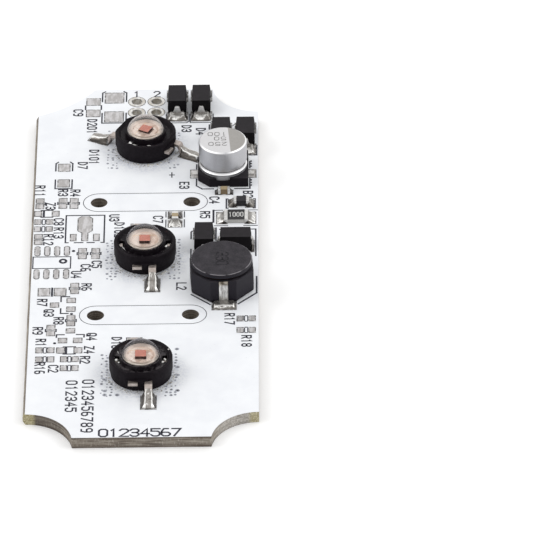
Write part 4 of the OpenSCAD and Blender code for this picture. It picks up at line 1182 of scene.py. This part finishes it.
rims = bmesh.new()
centres = bmesh.new()
for x, y, r in spots:
    if clear_of_pads(x, y):
        lathe(rims, [(0.45 * r, 0), (r, 0), (0.8 * r, 0.012), (0.6 * r, 0.015)], at(x, y), 16)
        lathe(centres, [(0, 0), (0.6 * r, 0), (0.6 * r, 0.008), (0, 0.004)], at(x, y), 12)
rim_tin = via_finish("via_rim", (196, 199, 208), (150, 152, 160))
hole_shade = via_finish("via_centre", (150, 152, 160), (52, 52, 60))
add_piece("via_rims", rims, rim_tin)
add_piece("via_centres", centres, hole_shade)

# Dried flux and dirt at the foot of the LEDs

CRUMBS = 34
LED_BODY_R = 4.0
work = bmesh.new()
dice = random.Random(5)
for led in LEDS:
    centre = LED_SPOTS[led]
    for _ in range(CRUMBS):
        a = math.radians(dice.uniform(190, 350))
        r = LED_BODY_R + dice.uniform(-0.05, 0.1) + abs(dice.gauss(0, 0.3))
        size = dice.uniform(0.03, 0.1)
        place = at(centre.x + r * math.cos(a), centre.y + r * math.sin(a), TOP + 0.3 * size)
        crumb = bmesh.ops.create_icosphere(work, subdivisions=2, radius=size, matrix=place)
        for vertex in crumb["verts"]:
            bulge = noise.noise(vertex.co * 9 + Vector((0, 0, dice.random())))
            vertex.co += (vertex.co - place.translation) * 0.5 * bulge
            vertex.co.z = max(vertex.co.z, TOP)
flux = mottled_finish("flux", ((128, 122, 110), (224, 218, 202)), (1.5, 2), (0.38, 0.62),
    relief=0.03, grain=(6, 2), roughness=0.4)
add_piece("flux_crumbs", work, flux)

# Camera, fitted to the photo's corners and holes

CAMERA_PLACE = (19.55, -685.16, 478.68)
CAMERA_YAW = 0.3175
CAMERA_DIP = 34.95
CAMERA_ROLL = -0.842
CAMERA_FOCAL = 437.36
lens = bpy.data.cameras.new("camera")
lens.sensor_width = 36
lens.lens = CAMERA_FOCAL
lens.clip_start = 0.05
lens.clip_end = 20
camera = link(bpy.data.objects.new("camera", lens))
turns = spin(CAMERA_YAW) @ Matrix.Rotation(math.radians(90 - CAMERA_DIP), 4, "X") @ spin(CAMERA_ROLL)
camera.matrix_world = Matrix.Translation(Vector(CAMERA_PLACE) * MM) @ turns
bpy.context.scene.camera = camera

# Floor

FLOOR_HALF = 3000
FLOOR_GAP = 0.05
FLOOR_LIFT = 0.24
paper = Finish("floor_paper", 0.9, specular=0.0)
paper.paint(paper.blend(paper.noise(0.4), (235, 235, 235), (237, 237, 237)))
paper.feed("Emission Color", (1, 1, 1, 1))
paper.feed("Emission Strength", paper.times(paper.seen_directly(), FLOOR_LIFT))
work = bmesh.new()
bmesh.ops.create_grid(work, x_segments=1, y_segments=1, size=FLOOR_HALF)
floor = new_object("floor", work, paper)
floor.location.z = -FLOOR_GAP * MM

# Studio light: an even sky, dimmer behind the camera, and a soft lamp on either side

SKY_BACK = 1.02
SKY_FRONT = 0.55
world = bpy.data.worlds.new("studio")
world.use_nodes = True
background = world.node_tree.nodes["Background"]
sky = Nodes(world.node_tree)
toward = sky.split(sky.add("TexCoord").outputs["Generated"])[1]
light = sky.span(toward, -0.8, 0.5, SKY_FRONT, SKY_BACK, "SMOOTHSTEP")
level = sky.add("Mix", {0: sky.seen_directly(), 2: light, 3: 1.0}).outputs[0]
sky.join(level, background.inputs["Strength"])
sky.join((1, 1, 1, 1), background.inputs["Color"])
bpy.context.scene.world = world

LAMP_PLACES = {"lamp_left": Vector((-430, -60, 430)), "lamp_right": Vector((430, -60, 430))}
LAMP_SIZE = 300
LAMP_POWER = 0.62
for name, place in LAMP_PLACES.items():
    lamp_data = bpy.data.lights.new(name, "AREA")
    lamp_data.shape = "DISK"
    lamp_data.size = LAMP_SIZE * MM
    lamp_data.energy = LAMP_POWER
    lamp = link(bpy.data.objects.new(name, lamp_data))
    turn = place.to_track_quat("Z", "Y").to_matrix().to_4x4()
    lamp.matrix_world = Matrix.Translation(place * MM) @ turn
bpy.context.scene.view_settings.view_transform = "Standard"
